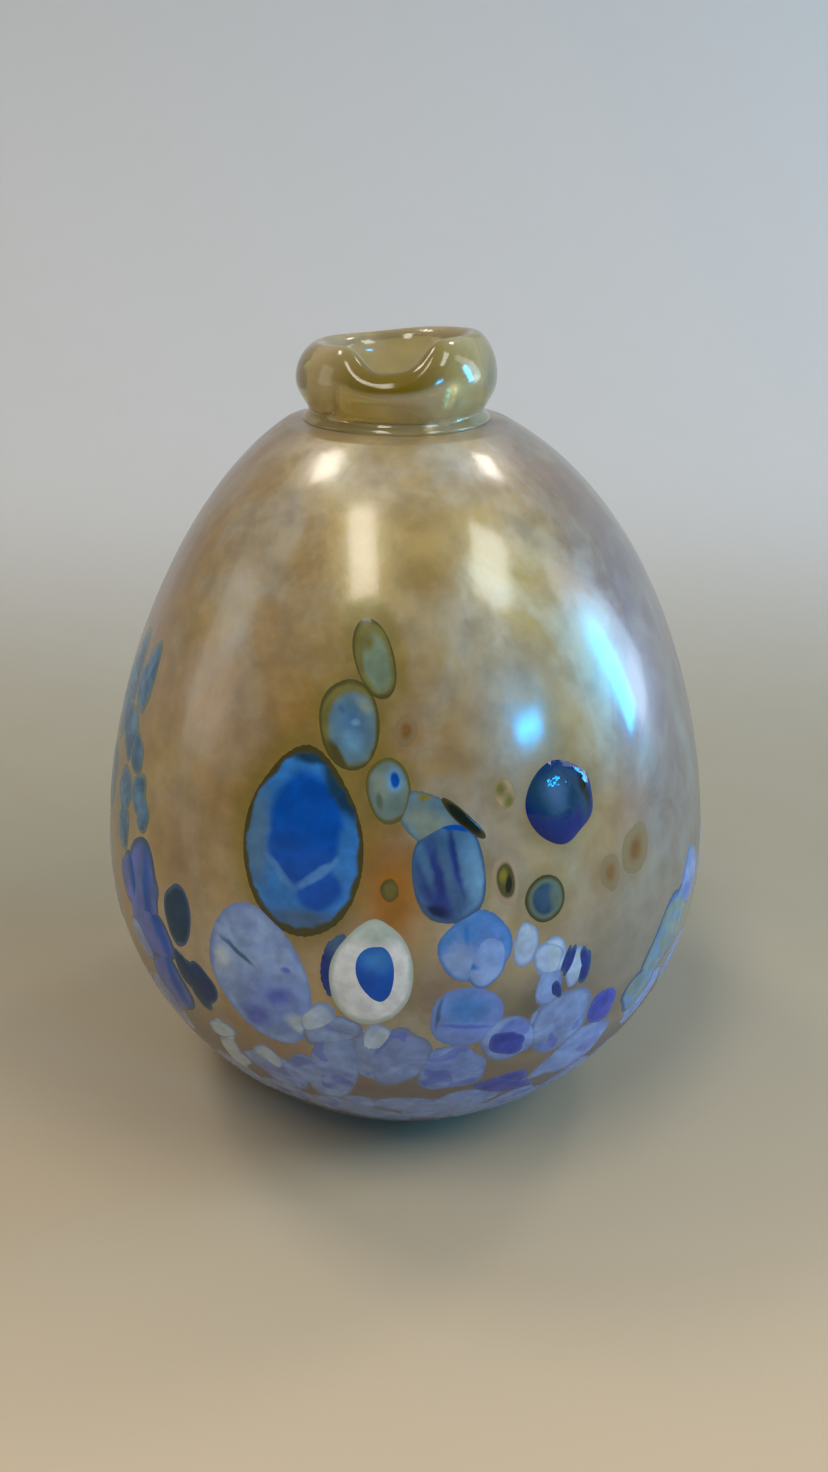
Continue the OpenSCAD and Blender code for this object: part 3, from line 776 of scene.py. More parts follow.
class VASE_OT_bubble(bpy.types.Operator):
    """Blown bubble: its outline from the middle of the underside, over the outside, into
    the mouth and down to the inside's floor, turned round the leaning axis"""

    bl_idname = "vase.bubble"
    bl_label = "Bubble"

    def execute(self, context):
        shape, colours = context.scene.vase_shape, context.scene.vase_colours
        columns = 288
        r, z, outer = self.outline(shape)
        azimuth = np.arange(columns) * 2 * math.pi / columns
        rings, turns = np.meshgrid(z, azimuth, indexing="ij")
        radius = r[:, None] + np.where(outer[:, None], unevenness(turns, rings, shape), 0)
        points = np.stack([radius * np.sin(turns) + neck_offset(rings, shape),
                           -radius * np.cos(turns), rings], axis=-1).reshape(-1, 3)
        rows = len(r)
        first, last = len(points), len(points) + 1
        points = np.concatenate([points, [[0, 0, shape.kick_depth], [0, 0, shape.bottom]]])
        fans = np.concatenate([
            middle_fan(first, 0, columns),
            middle_fan(last, (rows - 1) * columns, columns, outward=False)])
        piece = mesh_piece("blown_bubble", points, grid_faces(rows, columns), fans)
        self.tint(piece, points, shape)
        adopt(piece, bubble_glass(colours), "amber_glass", "glass_body")
        return {"FINISHED"}

    def outline(self, shape):
        """Radii and heights along the outline, and which of them are on the outside."""
        under_r = np.linspace(0.02, 1, 12) * shape.kick_radius
        under_z = shape.kick_depth * (1 - (under_r / shape.kick_radius) ** 4)
        flat_r = np.linspace(shape.kick_radius, shape.foot_radius, 10)[1:]
        low_z = shape.belly_height * (1 - np.cos(np.linspace(0.015, 1, 70) * math.pi / 2))
        top_z = BODY_HIGH.z - 0.9 * MM
        high_z = shape.belly_height + (top_z - shape.belly_height) * np.sin(
            np.linspace(0, 1, 90)[1:] * math.pi / 2)
        wall_z = np.concatenate([low_z, high_z])
        wall_r = outline_radius(wall_z, shape)
        shelf = np.linspace(0, 1, 9)[1:]
        shelf_r = wall_r[-1] + (shape.throat_radius + 0.4 * MM - wall_r[-1]) * shelf
        shelf_z = top_z + (BODY_HIGH.z - top_z) * np.sin(shelf * math.pi / 2)
        inner_r = shape.belly_radius - shape.wall
        up = np.linspace(1, 0, 50) * math.pi / 2
        inner_top = shape.dome_height - shape.wall
        in_high_r = inner_r * swell(np.sin(up), UPPER_POWERS)
        in_high_z = shape.belly_height + inner_top * np.sin(up)
        keep = in_high_r > shape.throat_radius + 0.6 * MM
        down = np.linspace(0, 1, 40)[1:-1] * math.pi / 2
        in_low_r = inner_r * swell(np.sin(down), INSIDE_POWERS)
        in_low_z = shape.belly_height - (shape.belly_height - shape.bottom) * np.sin(down)
        r = np.concatenate([under_r, flat_r, wall_r, shelf_r, in_high_r[keep], in_low_r])
        z = np.concatenate([under_z, 0 * flat_r, wall_z, shelf_z, in_high_z[keep], in_low_z])
        outer = np.zeros(len(r), bool)
        outer[len(under_r) + len(flat_r):][:len(wall_r)] = True
        return r, z, outer

    def tint(self, piece, points, shape):
        """Stores where the glass is amber, mauve, clear, burnt and haloed: soft ellipses
        round the chips and over the sides, given as azimuth, height and half sizes."""
        azimuth = np.degrees(np.arctan2(points[:, 0], -points[:, 1]))
        z = points[:, 2] / MM
        radius = np.maximum(np.hypot(points[:, 0], points[:, 1]) / MM, 8.0)

        def spot(centre, height, wide, tall, soft=0.5):
            """1 inside an ellipse on the wall, falling to 0 over soft of its size."""
            turn = np.radians((azimuth - centre + 180) % 360 - 180) * radius
            far = np.hypot(turn / wide, (z - height) / tall)
            return np.clip((1 + soft - far) / (2 * soft), 0, 1) ** 1.5

        amber = np.maximum.reduce([
            0.9 * spot(-14, 66, 16, 20), 0.7 * spot(3, 68, 12, 14), spot(-1, 56, 7, 9),
            0.5 * spot(28, 66, 7, 9), 0.5 * spot(-30, 66, 6, 22), 0.5 * spot(-3, 92, 30, 7),
            0.75 * spot(160, 62, 16, 18), 0.5 * spot(-150, 60, 14, 16)])
        warm = 0.95 * np.maximum.reduce([
            spot(-1.8, 54.5, 3.8, 7.5, 0.6), 0.55 * spot(0.5, 73.5, 1.6, 2.4, 0.7),
            0.6 * spot(43, 54.5, 3.0, 3.6, 0.7), 0.5 * spot(36, 53, 2.4, 2.6, 0.7),
            0.4 * spot(40, 60, 5, 5, 0.8), 0.5 * spot(150, 50, 4, 6, 0.8)])
        right = np.clip((azimuth - 38) / 14, 0, 1) * np.clip((100 - azimuth) / 20, 0, 1)
        left = np.clip((-azimuth - 52) / 14, 0, 1) * np.clip((azimuth + 120) / 20, 0, 1)
        mauve = np.clip(0.85 * right + 0.5 * left, 0, 1) * np.clip((z - 36) / 12, 0, 1)
        mauve = np.maximum.reduce([mauve, 0.75 * spot(6, 41, 8, 6), 0.5 * spot(-38, 56, 7, 9)])
        low = np.clip((38 - z) / 16, 0, 1)
        low_right = spot(42, 38, 12, 12, 0.6) + spot(24, 34, 12, 8, 0.5)
        clear = np.clip(np.maximum(low, low_right), 0, 1)
        halo = self.halos(np.radians(azimuth), z, radius, shape)
        stains = {"thin": 0.9 * spot(43, 40, 11, 10, 0.6),
                  "milky": 0.6 * np.clip((27 - z) / 8, 0, 1), "amber": amber * (1 - clear),
                  "warm": warm, "mauve": mauve, "clear": clear,
                  "halo": halo * (1 - 0.7 * clear)}
        for name, strength in stains.items():
            point_attribute(piece, name, strength)

    def halos(self, azimuth, z, radius, shape):
        """The stain round each chip named in HALOS: full up to a little past the chip's
        ellipse, then falling to 0. Heights and radii are in mm."""
        halo = np.zeros(len(z))
        for node, strength in HALOS.items():
            for place in chip_places(node, shape):
                turn = azimuth - place["azimuth"]
                turn = (turn + math.pi) % (2 * math.pi) - math.pi
                across = turn * radius
                along = (z - place["z"] / MM) * 1.08
                side = across * math.cos(place["lean"]) - along * math.sin(place["lean"])
                up = along * math.cos(place["lean"]) + across * math.sin(place["lean"])
                far = np.hypot(side / (place["wide"] / MM + 0.8),
                               up / (place["long"] / MM + 0.8))
                halo = np.maximum(halo, strength * np.clip((1.32 - far) / 0.3, 0, 1))
        return halo


class VASE_OT_lip(bpy.types.Operator):
    """Rolled collar: a closed spline section turned round the collar's axis, with its top
    pushed down in the front's dip and tilted"""

    bl_idname = "vase.lip"
    bl_label = "Lip collar"

    def execute(self, context):
        shape, colours = context.scene.vase_shape, context.scene.vase_colours
        columns = 224
        bulge, throat = (LIP_HIGH.x - LIP_LOW.x) / 2, shape.throat_radius
        foot, rim = LIP_LOW.z, LIP_HIGH.z - 0.7 * MM
        tall = rim - foot
        thick = bulge - throat
        section = closed_spline(np.array([
            (throat + 0.50 * thick, foot - 0.6 * MM), (throat + 0.86 * thick, foot - 0.3 * MM),
            (throat + 0.70 * thick, foot + 0.09 * tall), (throat + 0.80 * thick, foot + 0.2 * tall),
            (throat + 0.96 * thick, foot + 0.36 * tall), (throat + 1.00 * thick, foot + 0.52 * tall),
            (throat + 0.93 * thick, foot + 0.70 * tall), (throat + 0.77 * thick, foot + 0.86 * tall),
            (throat + 0.52 * thick, foot + 0.98 * tall), (throat + 0.26 * thick, foot + 0.97 * tall),
            (throat + 0.07 * thick, foot + 0.84 * tall), (throat + 0.00 * thick, foot + 0.62 * tall),
            (throat + 0.00 * thick, foot + 0.30 * tall), (throat + 0.06 * thick, foot - 0.2 * MM),
        ]), 84)
        turn = np.arange(columns) * 2 * math.pi / columns
        section_r, t = np.meshgrid(section[:, 0], turn, indexing="ij")
        section_z = np.repeat(section[:, 1:], columns, axis=1)
        up = np.clip((section_z - foot) / tall, 0, 1)
        inside = np.clip((throat + 0.5 * thick - section_r) / (0.5 * thick), 0, 1)
        front = (t + math.pi) % (2 * math.pi) - math.pi
        dip_shape = np.exp(-np.abs((front - DIP_AZIMUTH) / math.radians(25)) ** 3.4)
        lift = np.clip((up - 0.25) / 0.75, 0, 1) ** 1.3
        tilt = shape.rim_tilt / 2 * np.sin(t + math.radians(25))
        wave = 0.10 * MM * np.sin(3 * t + 0.8) + 0.07 * MM * np.sin(5 * t)
        radius = section_r + wave + 0.5 * MM * lift * dip_shape - 0.5 * MM * inside * dip_shape
        z = section_z + lift * (tilt - shape.dip_depth * dip_shape + 0.6 * wave)
        centre = (LIP_LOW.x + LIP_HIGH.x) / 2
        points = np.stack([centre + radius * np.sin(t), -radius * np.cos(t), z], axis=-1)
        quads = grid_faces(len(section) + 1, columns) % (len(section) * columns)
        piece = mesh_piece("rolled_lip", points.reshape(-1, 3), quads)
        # The dip attribute marks where painted shade goes: the crest of the roll near the front dip,
        # for the dark band of internal reflection.
        crest = np.clip((up - 0.5) / 0.12, 0, 1) * np.clip(
            (section_r - throat - 0.1 * thick) / (0.3 * thick), 0.25, 1)
        near = np.exp(-np.abs((front - DIP_AZIMUTH) / math.radians(48)) ** 3)
        point_attribute(piece, "dip", (crest * near).ravel())
        adopt(piece, lip_glass(colours), "lip_glass", "lip_collar")
        return {"FINISHED"}


class VASE_OT_seal(bpy.types.Operator):
    """Punty seal: a small broken disc with a wavy edge and a rough face"""

    bl_idname = "vase.seal"
    bl_label = "Punty seal"

    def execute(self, context):
        shape, colours = context.scene.vase_shape, context.scene.vase_colours
        rings, spokes = 18, 64
        size = (SEAL_HIGH.x - SEAL_LOW.x) / 2
        share = np.linspace(0, 1, rings + 1)[1:]
        angle = np.arange(spokes) * 2 * math.pi / spokes
        rho, theta = np.meshgrid(share, angle, indexing="ij")
        edge = ragged(theta, 5, 0.05)
        x, y = rho * np.sin(theta) * edge * size, -rho * np.cos(theta) * edge * size
        chips = 0.1 * MM * (np.sin(9 * rho + 3 * theta) + np.sin(14 * rho - 5 * theta)) * rho
        depth = SEAL_LOW.z + 0.25 * MM + (0.4 * MM * rho ** 8) + chips
        roof = np.full_like(depth, SEAL_HIGH.z - 0.05 * MM)
        points = np.concatenate([[[0, 0, SEAL_LOW.z + 0.25 * MM]],
                                 np.stack([x, y, depth], -1).reshape(-1, 3),
                                 np.stack([x, y, roof], -1).reshape(-1, 3),
                                 [[0, 0, SEAL_HIGH.z - 0.05 * MM]]])
        k = np.arange(spokes)
        after = (k + 1) % spokes
        total = rings * spokes
        low = grid_faces(rings, spokes) + 1
        high = grid_faces(rings, spokes)[:, ::-1] + 1 + total
        side_low, side_high = 1 + (rings - 1) * spokes, 1 + total + (rings - 1) * spokes
        side = np.stack([side_low + k, side_low + after, side_high + after, side_high + k], 1)
        fans = np.concatenate([
            middle_fan(0, 1, spokes),
            middle_fan(len(points) - 1, 1 + total, spokes, outward=False)])
        piece = mesh_piece("punty_mark", points, np.concatenate([low[:, ::-1], high[:, ::-1],
                                                                 side[:, ::-1]]), fans)
        recalculate(piece)
        n = Nodes("broken_seal_glass")
        place = n.coordinates()
        n.bump(n.noise(place, 900.0, detail=4.0), 0.6, 0.3 * MM)
        base = n.mix(n.noise(place, 300.0), rgba(colours.tan), rgba(colours.clear))
        adopt(piece, n.finish(Base_Color=base, Roughness=0.35, IOR=1.5,
                              Transmission_Weight=0.5), "amber_glass", "punty_seal")
        return {"FINISHED"}


def recalculate(piece):
    """Turns the faces of a closed piece outwards."""
    work = bmesh.new()
    work.from_mesh(piece.data)
    bmesh.ops.recalc_face_normals(work, faces=work.faces)
    work.to_mesh(piece.data)
    work.free()


def chips_piece(context, node, material, slot, name=None, lobes_rough=0.09, **lens):
    """One piece for a chip node, with a lens for each of its solids and of its lobes."""
    shape = context.scene.vase_shape
    lenses, numbers = [], []
    for k, place in enumerate(chip_places(node, shape)):
        lenses.append(lens_surface(place, shape, seed=len(node) * 7 + k, **lens))
        numbers.append((k * 0.618) % 1.0)
    rise = lens.get("rise", shape.chip_rise)
    for k, (azimuth, z, wide, long, lean, number) in enumerate(LOBES.get(node, [])):
        place = {"azimuth": math.radians(azimuth), "z": z * MM, "wide": wide * MM,
                 "long": long * MM, "lean": math.radians(lean)}
        lenses.append(lens_surface(place, shape, seed=len(node) * 11 + k, rough=lobes_rough,
                                   rise=rise * (0.5 + number) + TUCK, grow=1.05))
        numbers.append(number)
    piece = joined_lenses(name or node.replace("_chips", "_glass").replace("_chip", "_glass"),
                          lenses, numbers)
    adopt(piece, material, slot, node)
    return piece


class VASE_OT_eye_chips(bpy.types.Operator):
    """Large blue eye in front and its fellow on the back"""

    bl_idname = "vase.eye_chips"
    bl_label = "Eye chips"

    def execute(self, context):
        c = context.scene.vase_colours
        deep, mid, steel, teal = c.strong_blue, c.mid_blue, c.steel_blue, c.dark_teal
        front = chip_glass("eye_blue_glass", mid, c.dark_olive, [
            (c.fold_blue, (-5.9, 0.6), (1.9, 7.0), 3, 0.5),
            (c.slate_blue, (1.0, -9.8), (5.0, 1.6), 0, 0.6),
            (deep, (0.5, 3.2), (4.5, 5.6), 0, 0.16),
            (deep, (0.2, -0.6), (4.3, 4.6), 0, 0.16),
            (deep, (2.4, -5.4), (3.0, 2.6), 15, 0.22),
            (c.sky_blue, (-2.5, -4.0), (2.7, 0.55), -46, 0.45),
            (c.sky_blue, (2.3, -3.5), (3.8, 0.6), 40, 0.45),
            (mid, (6.3, -1.0), (1.2, 5.6), 0, 0.4),
            (teal, (4.4, 7.2), (4.4, 1.3), -58, 0.4),
            (teal, (0.6, 10.6), (2.6, 0.8), 0, 0.5),
        ], warp=0.5, edge=(0.93, 0.99))
        chips_piece(context, "eye_chip", front, "strong_blue_glass", rings=22, spokes=96,
                    rough=0.0, stretch=(1.08, 1.09), shift=(0.0, 0.15 * MM),
                    outline=[1.0, 0.94, 0.9, 0.94, 1.0, 1.03, 1.03, 1.0, 0.99, 1.0, 1.02,
                             1.02, 1.0, 0.95, 0.91, 0.95])
        back = chip_glass("back_eye_glass", mid, c.olive, [
            (steel, (4.4, 0.6), (1.3, 5.0), 0, 0.35),
            (deep, (-0.4, 1.6), (3.9, 5.4), 5, 0.2),
            (deep, (-1.2, -3.4), (3.2, 2.8), -12, 0.2),
            (c.sky_blue, (0.6, -2.6), (3.6, 0.5), -35, 0.45),
        ], warp=0.5, edge=(0.88, 1.0), ring=teal)
        chips_piece(context, "back_eye_chip", back, "strong_blue_glass", taper=0.18,
                    rings=22, spokes=96, rough=0.03)
        return {"FINISHED"}


class VASE_OT_oval_chips(bpy.types.Operator):
    """Two olive rimmed ovals above the eye"""

    bl_idname = "vase.oval_chips"
    bl_label = "Oval chips"

    def execute(self, context):
        c = context.scene.vase_colours
        top = chip_glass("top_oval_glass", c.olive, c.dark_olive, [
            (c.oval_green, (0.15, -0.6), (1.5, 3.4), -3, 0.2),
            (c.olive, (-0.2, 2.0), (0.5, 0.8), 0, 0.9),
        ], warp=0.3, edge=(0.86, 1.0), see_through=0.0)
        chips_piece(context, "top_oval_chip", top, "sea_grey_glass", rough=0.02, grow=1.04)
        second = chip_glass("second_oval_glass", c.olive, c.dark_olive, [
            (c.slate_grey, (0.35, -0.4), (2.8, 4.2), -4, 0.14),
            (c.fold_blue, (0.2, 0.0), (1.4, 2.2), 0, 0.9),
            (c.steel_blue, (0.2, -2.0), (1.2, 1.0), 30, 0.9),
            (c.slate_blue, (-0.7, 1.9), (0.35, 0.5), 20, 0.9),
            (c.steel_blue, (0.8, 0.2), (0.5, 0.4), 0, 0.6),
            (c.sea_grey, (2.0, 2.0), (0.9, 0.5), -50, 0.9),
            (c.dark_olive, (-1.8, -3.6), (0.6, 2.2), 28, 0.5),
        ], warp=0.4, edge=(0.88, 1.0), see_through=0.0)
        chips_piece(context, "second_oval_chip", second, "grey_blue_glass", rough=0.03,
                    stretch=(1.13, 1.15))
        return {"FINISHED"}


class VASE_OT_run_chips(bpy.types.Operator):
    """The run of chips across the middle: head, neck, fold and dark arc"""

    bl_idname = "vase.run_chips"
    bl_label = "Run of chips"

    def execute(self, context):
        c = context.scene.vase_colours
        neck = chip_glass("pale_neck_glass", c.slate_grey, c.slate_grey, [
            (c.sea_grey, (-0.6, 1.0), (1.7, 3.0), 0, 0.6),
            (c.yellow_olive, (2.2, 2.9), (0.9, 0.8), 0, 0.5),
            (c.steel_blue, (-1.6, -3.0), (1.2, 1.8), 0, 0.6),
        ], warp=0.6, edge=(0.8, 1.0), swirl=c.steel_blue, swirl_share=0.25)
        chips_piece(context, "pale_neck_chip", neck, "sea_grey_glass", grow=1.0,
                    stretch=(1.9, 1.9), shift=(-0.9 * MM, -0.2 * MM), rise=0.05 * MM)
        head = chip_glass("spotted_head_glass", c.head_grey, c.olive, [
            (c.sea_grey, (-0.9, 0.6), (0.9, 2.0), 0, 0.6),
            (c.steel_blue, (0.95, 1.2), (0.95, 1.35), -8, 0.5),
            (c.strong_blue, (0.95, 1.2), (0.5, 0.85), -8, 0.3),
            (c.dark_green, (-1.2, -0.9), (0.4, 0.95), -6, 0.5),
        ], warp=0.25, edge=(0.82, 0.98))
        chips_piece(context, "spotted_head_chip", head, "sea_grey_glass", grow=1.12,
                    rise=0.09 * MM)
        fold = chip_glass("folded_blue_glass", c.fold_blue, c.slate_blue, [
            (c.navy, (-1.6, -1.2), (2.2, 5.6), 3, 0.7),
            (c.fold_blue, (-2.6, 2.4), (0.6, 3.6), 6, 0.7),
            (c.slate_blue, (-0.2, 1.0), (0.5, 5.0), 3, 0.7),
            (c.navy, (1.0, 1.4), (0.4, 4.0), 2, 0.7),
            (c.steel_blue, (3.2, -1.6), (1.2, 4.0), 4, 0.9),
            (c.strong_blue, (1.8, 5.2), (2.8, 0.4), -24, 0.5),
            (c.ink_blue, (-2.6, -4.6), (1.7, 0.9), -10, 0.6),
            (c.dark_olive, (5.6, -0.6), (0.5, 4.6), 2, 0.7),
        ], warp=0.5, edge=(0.9, 1.02))
        chips_piece(context, "folded_blue_chip", fold, "grey_blue_glass", grow=1.1,
                    rise=0.1 * MM, rings=20, spokes=72, rough=0.03,
                    stretch=(1.0, 1.36), shift=(-0.1 * MM, 0.7 * MM),
                    outline=[1.0, 1.04, 1.06, 1.0, 0.97, 1.0, 1.04, 1.0, 0.98, 1.0, 1.06,
                             1.04, 0.98, 0.95, 0.95, 0.98])
        arc = chip_glass("dark_arc_glass", c.ink, c.dark_olive, warp=0.2, edge=(0.7, 1.0))
        chips_piece(context, "dark_arc_chip", arc, "dark_olive_glass", rise=0.13 * MM,
                    grow=1.1, shift=(-1.5 * MM, 0))
        return {"FINISHED"}


class VASE_OT_murrine(bpy.types.Operator):
    """Cane slice: a white ring, its blue core and the dark chip beside it"""

    bl_idname = "vase.murrine"
    bl_label = "Murrine"

    def execute(self, context):
        c = context.scene.vase_colours
        crescent = chip_glass("navy_crescent_glass", c.slate_blue, c.slate_blue, [
            (c.navy, (-1.8, -1.6), (2.0, 4.0), 8, 0.5)], warp=0.4)
        chips_piece(context, "navy_crescent_chip", crescent, "navy_glass", rise=0.03 * MM,
                    grow=1.04)
        ring = chip_glass("white_ring_glass", c.white, c.pale_grey, [
            (c.pale_grey, (0, 5.6), (3.2, 1.6), 0, 0.6),
            (c.white, (-2.0, -3.6), (2.0, 2.4), 0, 0.6)], warp=0.5, edge=(0.9, 1.04),
            see_through=0.1)
        chips_piece(context, "murrine_ring", ring, "white_glass", rings=20, spokes=96,
                    rough=0.0, rise=0.17 * MM, grow=1.13, shift=(-0.25 * MM, 0),
                    outline=[0.95, 0.93, 0.95, 0.98, 1.0, 1.02, 1.0, 0.97, 0.98, 1.0, 1.02,
                             1.02, 1.0, 0.92, 0.85, 0.88])
        core = chip_glass("blue_core_glass", c.strong_blue, c.sky_blue, [
            (c.mid_blue, (0.2, 1.8), (2.0, 1.6), 0, 0.7)], warp=0.4, edge=(0.93, 1.0),
            see_through=0.0)
        chips_piece(context, "murrine_core", core, "strong_blue_glass", spokes=72,
                    rough=0.0, rise=0.24 * MM, grow=1.2,
                    outline=[0.96, 1.0, 0.98, 0.95, 0.94, 0.98, 1.06, 1.08, 0.98, 0.88, 0.86,
                             0.9, 0.98, 1.04, 1.02, 0.98])
        return {"FINISHED"}


class VASE_OT_single_chips(bpy.types.Operator):
    """Small single chips and the burnt amber patches"""

    bl_idname = "vase.single_chips"
    bl_label = "Single chips"

    def execute(self, context):
        c = context.scene.vase_colours
        ghost = chip_glass("ghost_disc_glass", c.dark_olive, c.warm, [
            (c.olive, (0.1, 0), (0.8, 1.1), 0, 0.5)], warp=0.2, edge=(0.7, 0.95))
        chips_piece(context, "ghost_disc_chip", ghost, "olive_glass", rise=0.03 * MM)
        tiny = chip_glass("tiny_olive_glass", c.tan, c.tan, [
            (c.olive, (-0.5, 0.6), (0.8, 1.0), 0, 0.7),
            (c.olive, (0.6, -1.1), (0.7, 0.8), 0, 0.7)], warp=0.5, edge=(0.6, 1.0))
        chips_piece(context, "tiny_olive_chip", tiny, "olive_glass", rise=0.03 * MM, grow=1.2)
        sliver = chip_glass("dark_sliver_glass", c.dark_olive, c.rose_tan, [
            (c.yellow_olive, (-0.3, 1.2), (0.6, 1.2), 0, 0.6),
            (c.ink, (0.25, -0.7), (0.42, 1.3), -14, 0.35)], warp=0.15, edge=(0.62, 0.8),
            ring=c.dark_olive)
        chips_piece(context, "dark_sliver_chip", sliver, "dark_olive_glass", rise=0.06 * MM,
                    grow=1.35, stretch=(1.15, 1.0))
        teal = chip_glass("teal_round_glass", c.dark_teal, c.dark_olive, [
            (c.deep_slate, (-0.4, 0.4), (1.4, 2.2), 0, 0.9),
            (c.dark_green, (1.6, 0), (0.8, 2.6), 0, 0.7)], warp=0.3, edge=(0.78, 0.98),
            ring=c.dark_green)
        chips_piece(context, "teal_round_chip", teal, "grey_blue_glass", rough=0.02)
        amber = chip_glass("burnt_amber_glass", c.burnt, c.tan, warp=0.6, edge=(0.2, 0.85),
                           see_through=0.4)
        chips_piece(context, "amber_chips", amber, "burnt_amber_glass", rise=0.05 * MM,
                    rough=0.08, grow=1.2)
        return {"FINISHED"}


class VASE_OT_cobalt_chip(bpy.types.Operator):
    """Raised cobalt chip with a bright, ragged edge"""

    bl_idname = "vase.cobalt_chip"
    bl_label = "Cobalt chip"

    def execute(self, context):
        c = context.scene.vase_colours
        n = Nodes("raised_cobalt_glass")
        place = n.coordinates()
        _, spot = n.shaken(place, 260.0, 2.0)
        colour = n.painted(rgba(c.cobalt), spot, [
            (c.dark_teal, (-0.6, 1.6), (4.2, 3.0), -20, 0.4),
            (c.slate_blue, (-0.8, 1.4), (1.4, 1.8), 10, 0.8),
            (c.dark_teal, (2.6, -0.6), (1.0, 2.6), 10, 0.5),
            (c.ink, (3.2, 0.6), (0.6, 2.6), 6, 0.5)])
        folds = n.noise(place, 330.0, detail=3.0, distortion=0.8)
        n.bump(folds, 0.55, 0.3 * MM)
        glass = n.finish(Base_Color=colour, Roughness=0.06, IOR=1.45,
                         Specular_IOR_Level=0.35)
        chips_piece(context, "cobalt_chip", glass, "cobalt_glass", rise=0.65 * MM, rings=22,
                    grow=1.1, spokes=120, rough=0.03,
                    outline=[1.0, 0.97, 1.0, 0.95, 1.04, 0.97, 1.03, 0.98, 1.0, 1.02, 1.0, 1.0])
        return {"FINISHED"}


class VASE_OT_pale_chips(bpy.types.Operator):
    """Pale blue, white, navy and violet chips of the lower front"""

    bl_idname = "vase.pale_chips"
    bl_label = "Pale chips"

    def execute(self, context):
        c = context.scene.vase_colours
        band = chip_glass("band_chip_glass", c.periwinkle, c.steel_grey,
                          swirl=c.pale_blue, vary=c.steel_grey, swirl_share=0.7,
                          edge=(0.8, 1.0), spots=c.violet_blue)
        chips_piece(context, "lower_band_chips", band, "pale_blue_glass", grow=1.25,
                    rough=0.13, rise=0.04 * MM)
        large = chip_glass("periwinkle_chip_glass", c.pale_blue, c.periwinkle, [
            (c.periwinkle, (1.6, -4.0), (5.4, 4.6), 0, 0.5),
            (c.slate_blue, (-2.4, 3.6), (2.8, 0.45), -38, 0.5),
            (c.violet_blue, (2.4, -2.4), (1.7, 1.1), 20, 0.7),
            (c.violet_blue, (-1.4, -6.2), (1.6, 1.8), 0, 0.7),
            (c.pale_white, (-5.2, 2.2), (1.3, 1.4), 10, 0.8),
            (c.pale_white, (4.6, -6.6), (1.8, 1.4), -40, 0.6),
            (c.violet_blue, (4.2, 1.6), (0.5, 0.4), 0, 0.7),
        ], swirl=c.periwinkle, warp=0.7, edge=(0.9, 1.05), see_through=0.15)
        chips_piece(context, "periwinkle_chip", large, "pale_blue_glass", rings=22, spokes=96,
                    rough=0.02, grow=1.15, rise=0.07 * MM,
                    outline=[1.04, 1.0, 0.96, 0.97, 1.0, 1.0, 1.06, 1.08, 1.0, 0.95, 0.92,
                             0.94, 0.98, 1.0, 1.02, 1.04])
        light = chip_glass("light_blue_chip_glass", c.sky_blue, c.sky_blue, [
            (c.pale_blue, (2.0, -2.2), (2.6, 2.0), 0, 0.6),
            (c.mid_blue, (-1.8, -1.0), (1.2, 0.4), 0, 0.6),
        ], vary=c.pale_blue, swirl=c.periwinkle, edge=(0.86, 1.05))
        chips_piece(context, "light_blue_chip", light, "pale_blue_glass", grow=1.14,
                    shift=(-0.3 * MM, 0.4 * MM), rough=0.07, rise=0.06 * MM, spokes=72)
        striped = chip_glass("striped_chip_glass", c.periwinkle, c.periwinkle, [
            (c.sky_blue, (1.4, 0.2), (2.4, 3.0), 0, 0.7),
            (c.violet_blue, (-1.3, -0.2), (0.32, 3.2), 2, 0.5),
            (c.slate_blue, (0.8, 3.7), (2.6, 0.3), 0, 0.5),
        ], warp=0.4, edge=(0.86, 1.05), see_through=0.2)
        chips_piece(context, "striped_chip", striped, "pale_blue_glass", grow=1.2,
                    rough=0.04, rise=0.08 * MM, spokes=72)
        white = chip_glass("white_chip_glass", c.pale_white, c.pale_blue,
                           swirl=c.pale_blue, swirl_share=0.4, edge=(0.7, 1.0))
        chips_piece(context, "small_white_chips", white, "white_glass", grow=1.4,
                    rise=0.04 * MM)
        chips_piece(context, "left_white_chips", white, "white_glass", grow=1.2,
                    rise=0.04 * MM)
        navy = chip_glass("navy_chip_glass", c.navy, c.slate_blue, edge=(0.6, 1.0))
        chips_piece(context, "navy_stripe_chips", navy, "navy_glass", grow=1.05,
                    rise=0.08 * MM)
        violet = chip_glass("violet_chip_glass", c.violet, c.violet_blue,
                            swirl=c.navy, edge=(0.7, 1.0))
        chips_piece(context, "violet_chips", violet, "violet_glass", grow=1.15,
                    rise=0.09 * MM)
        return {"FINISHED"}


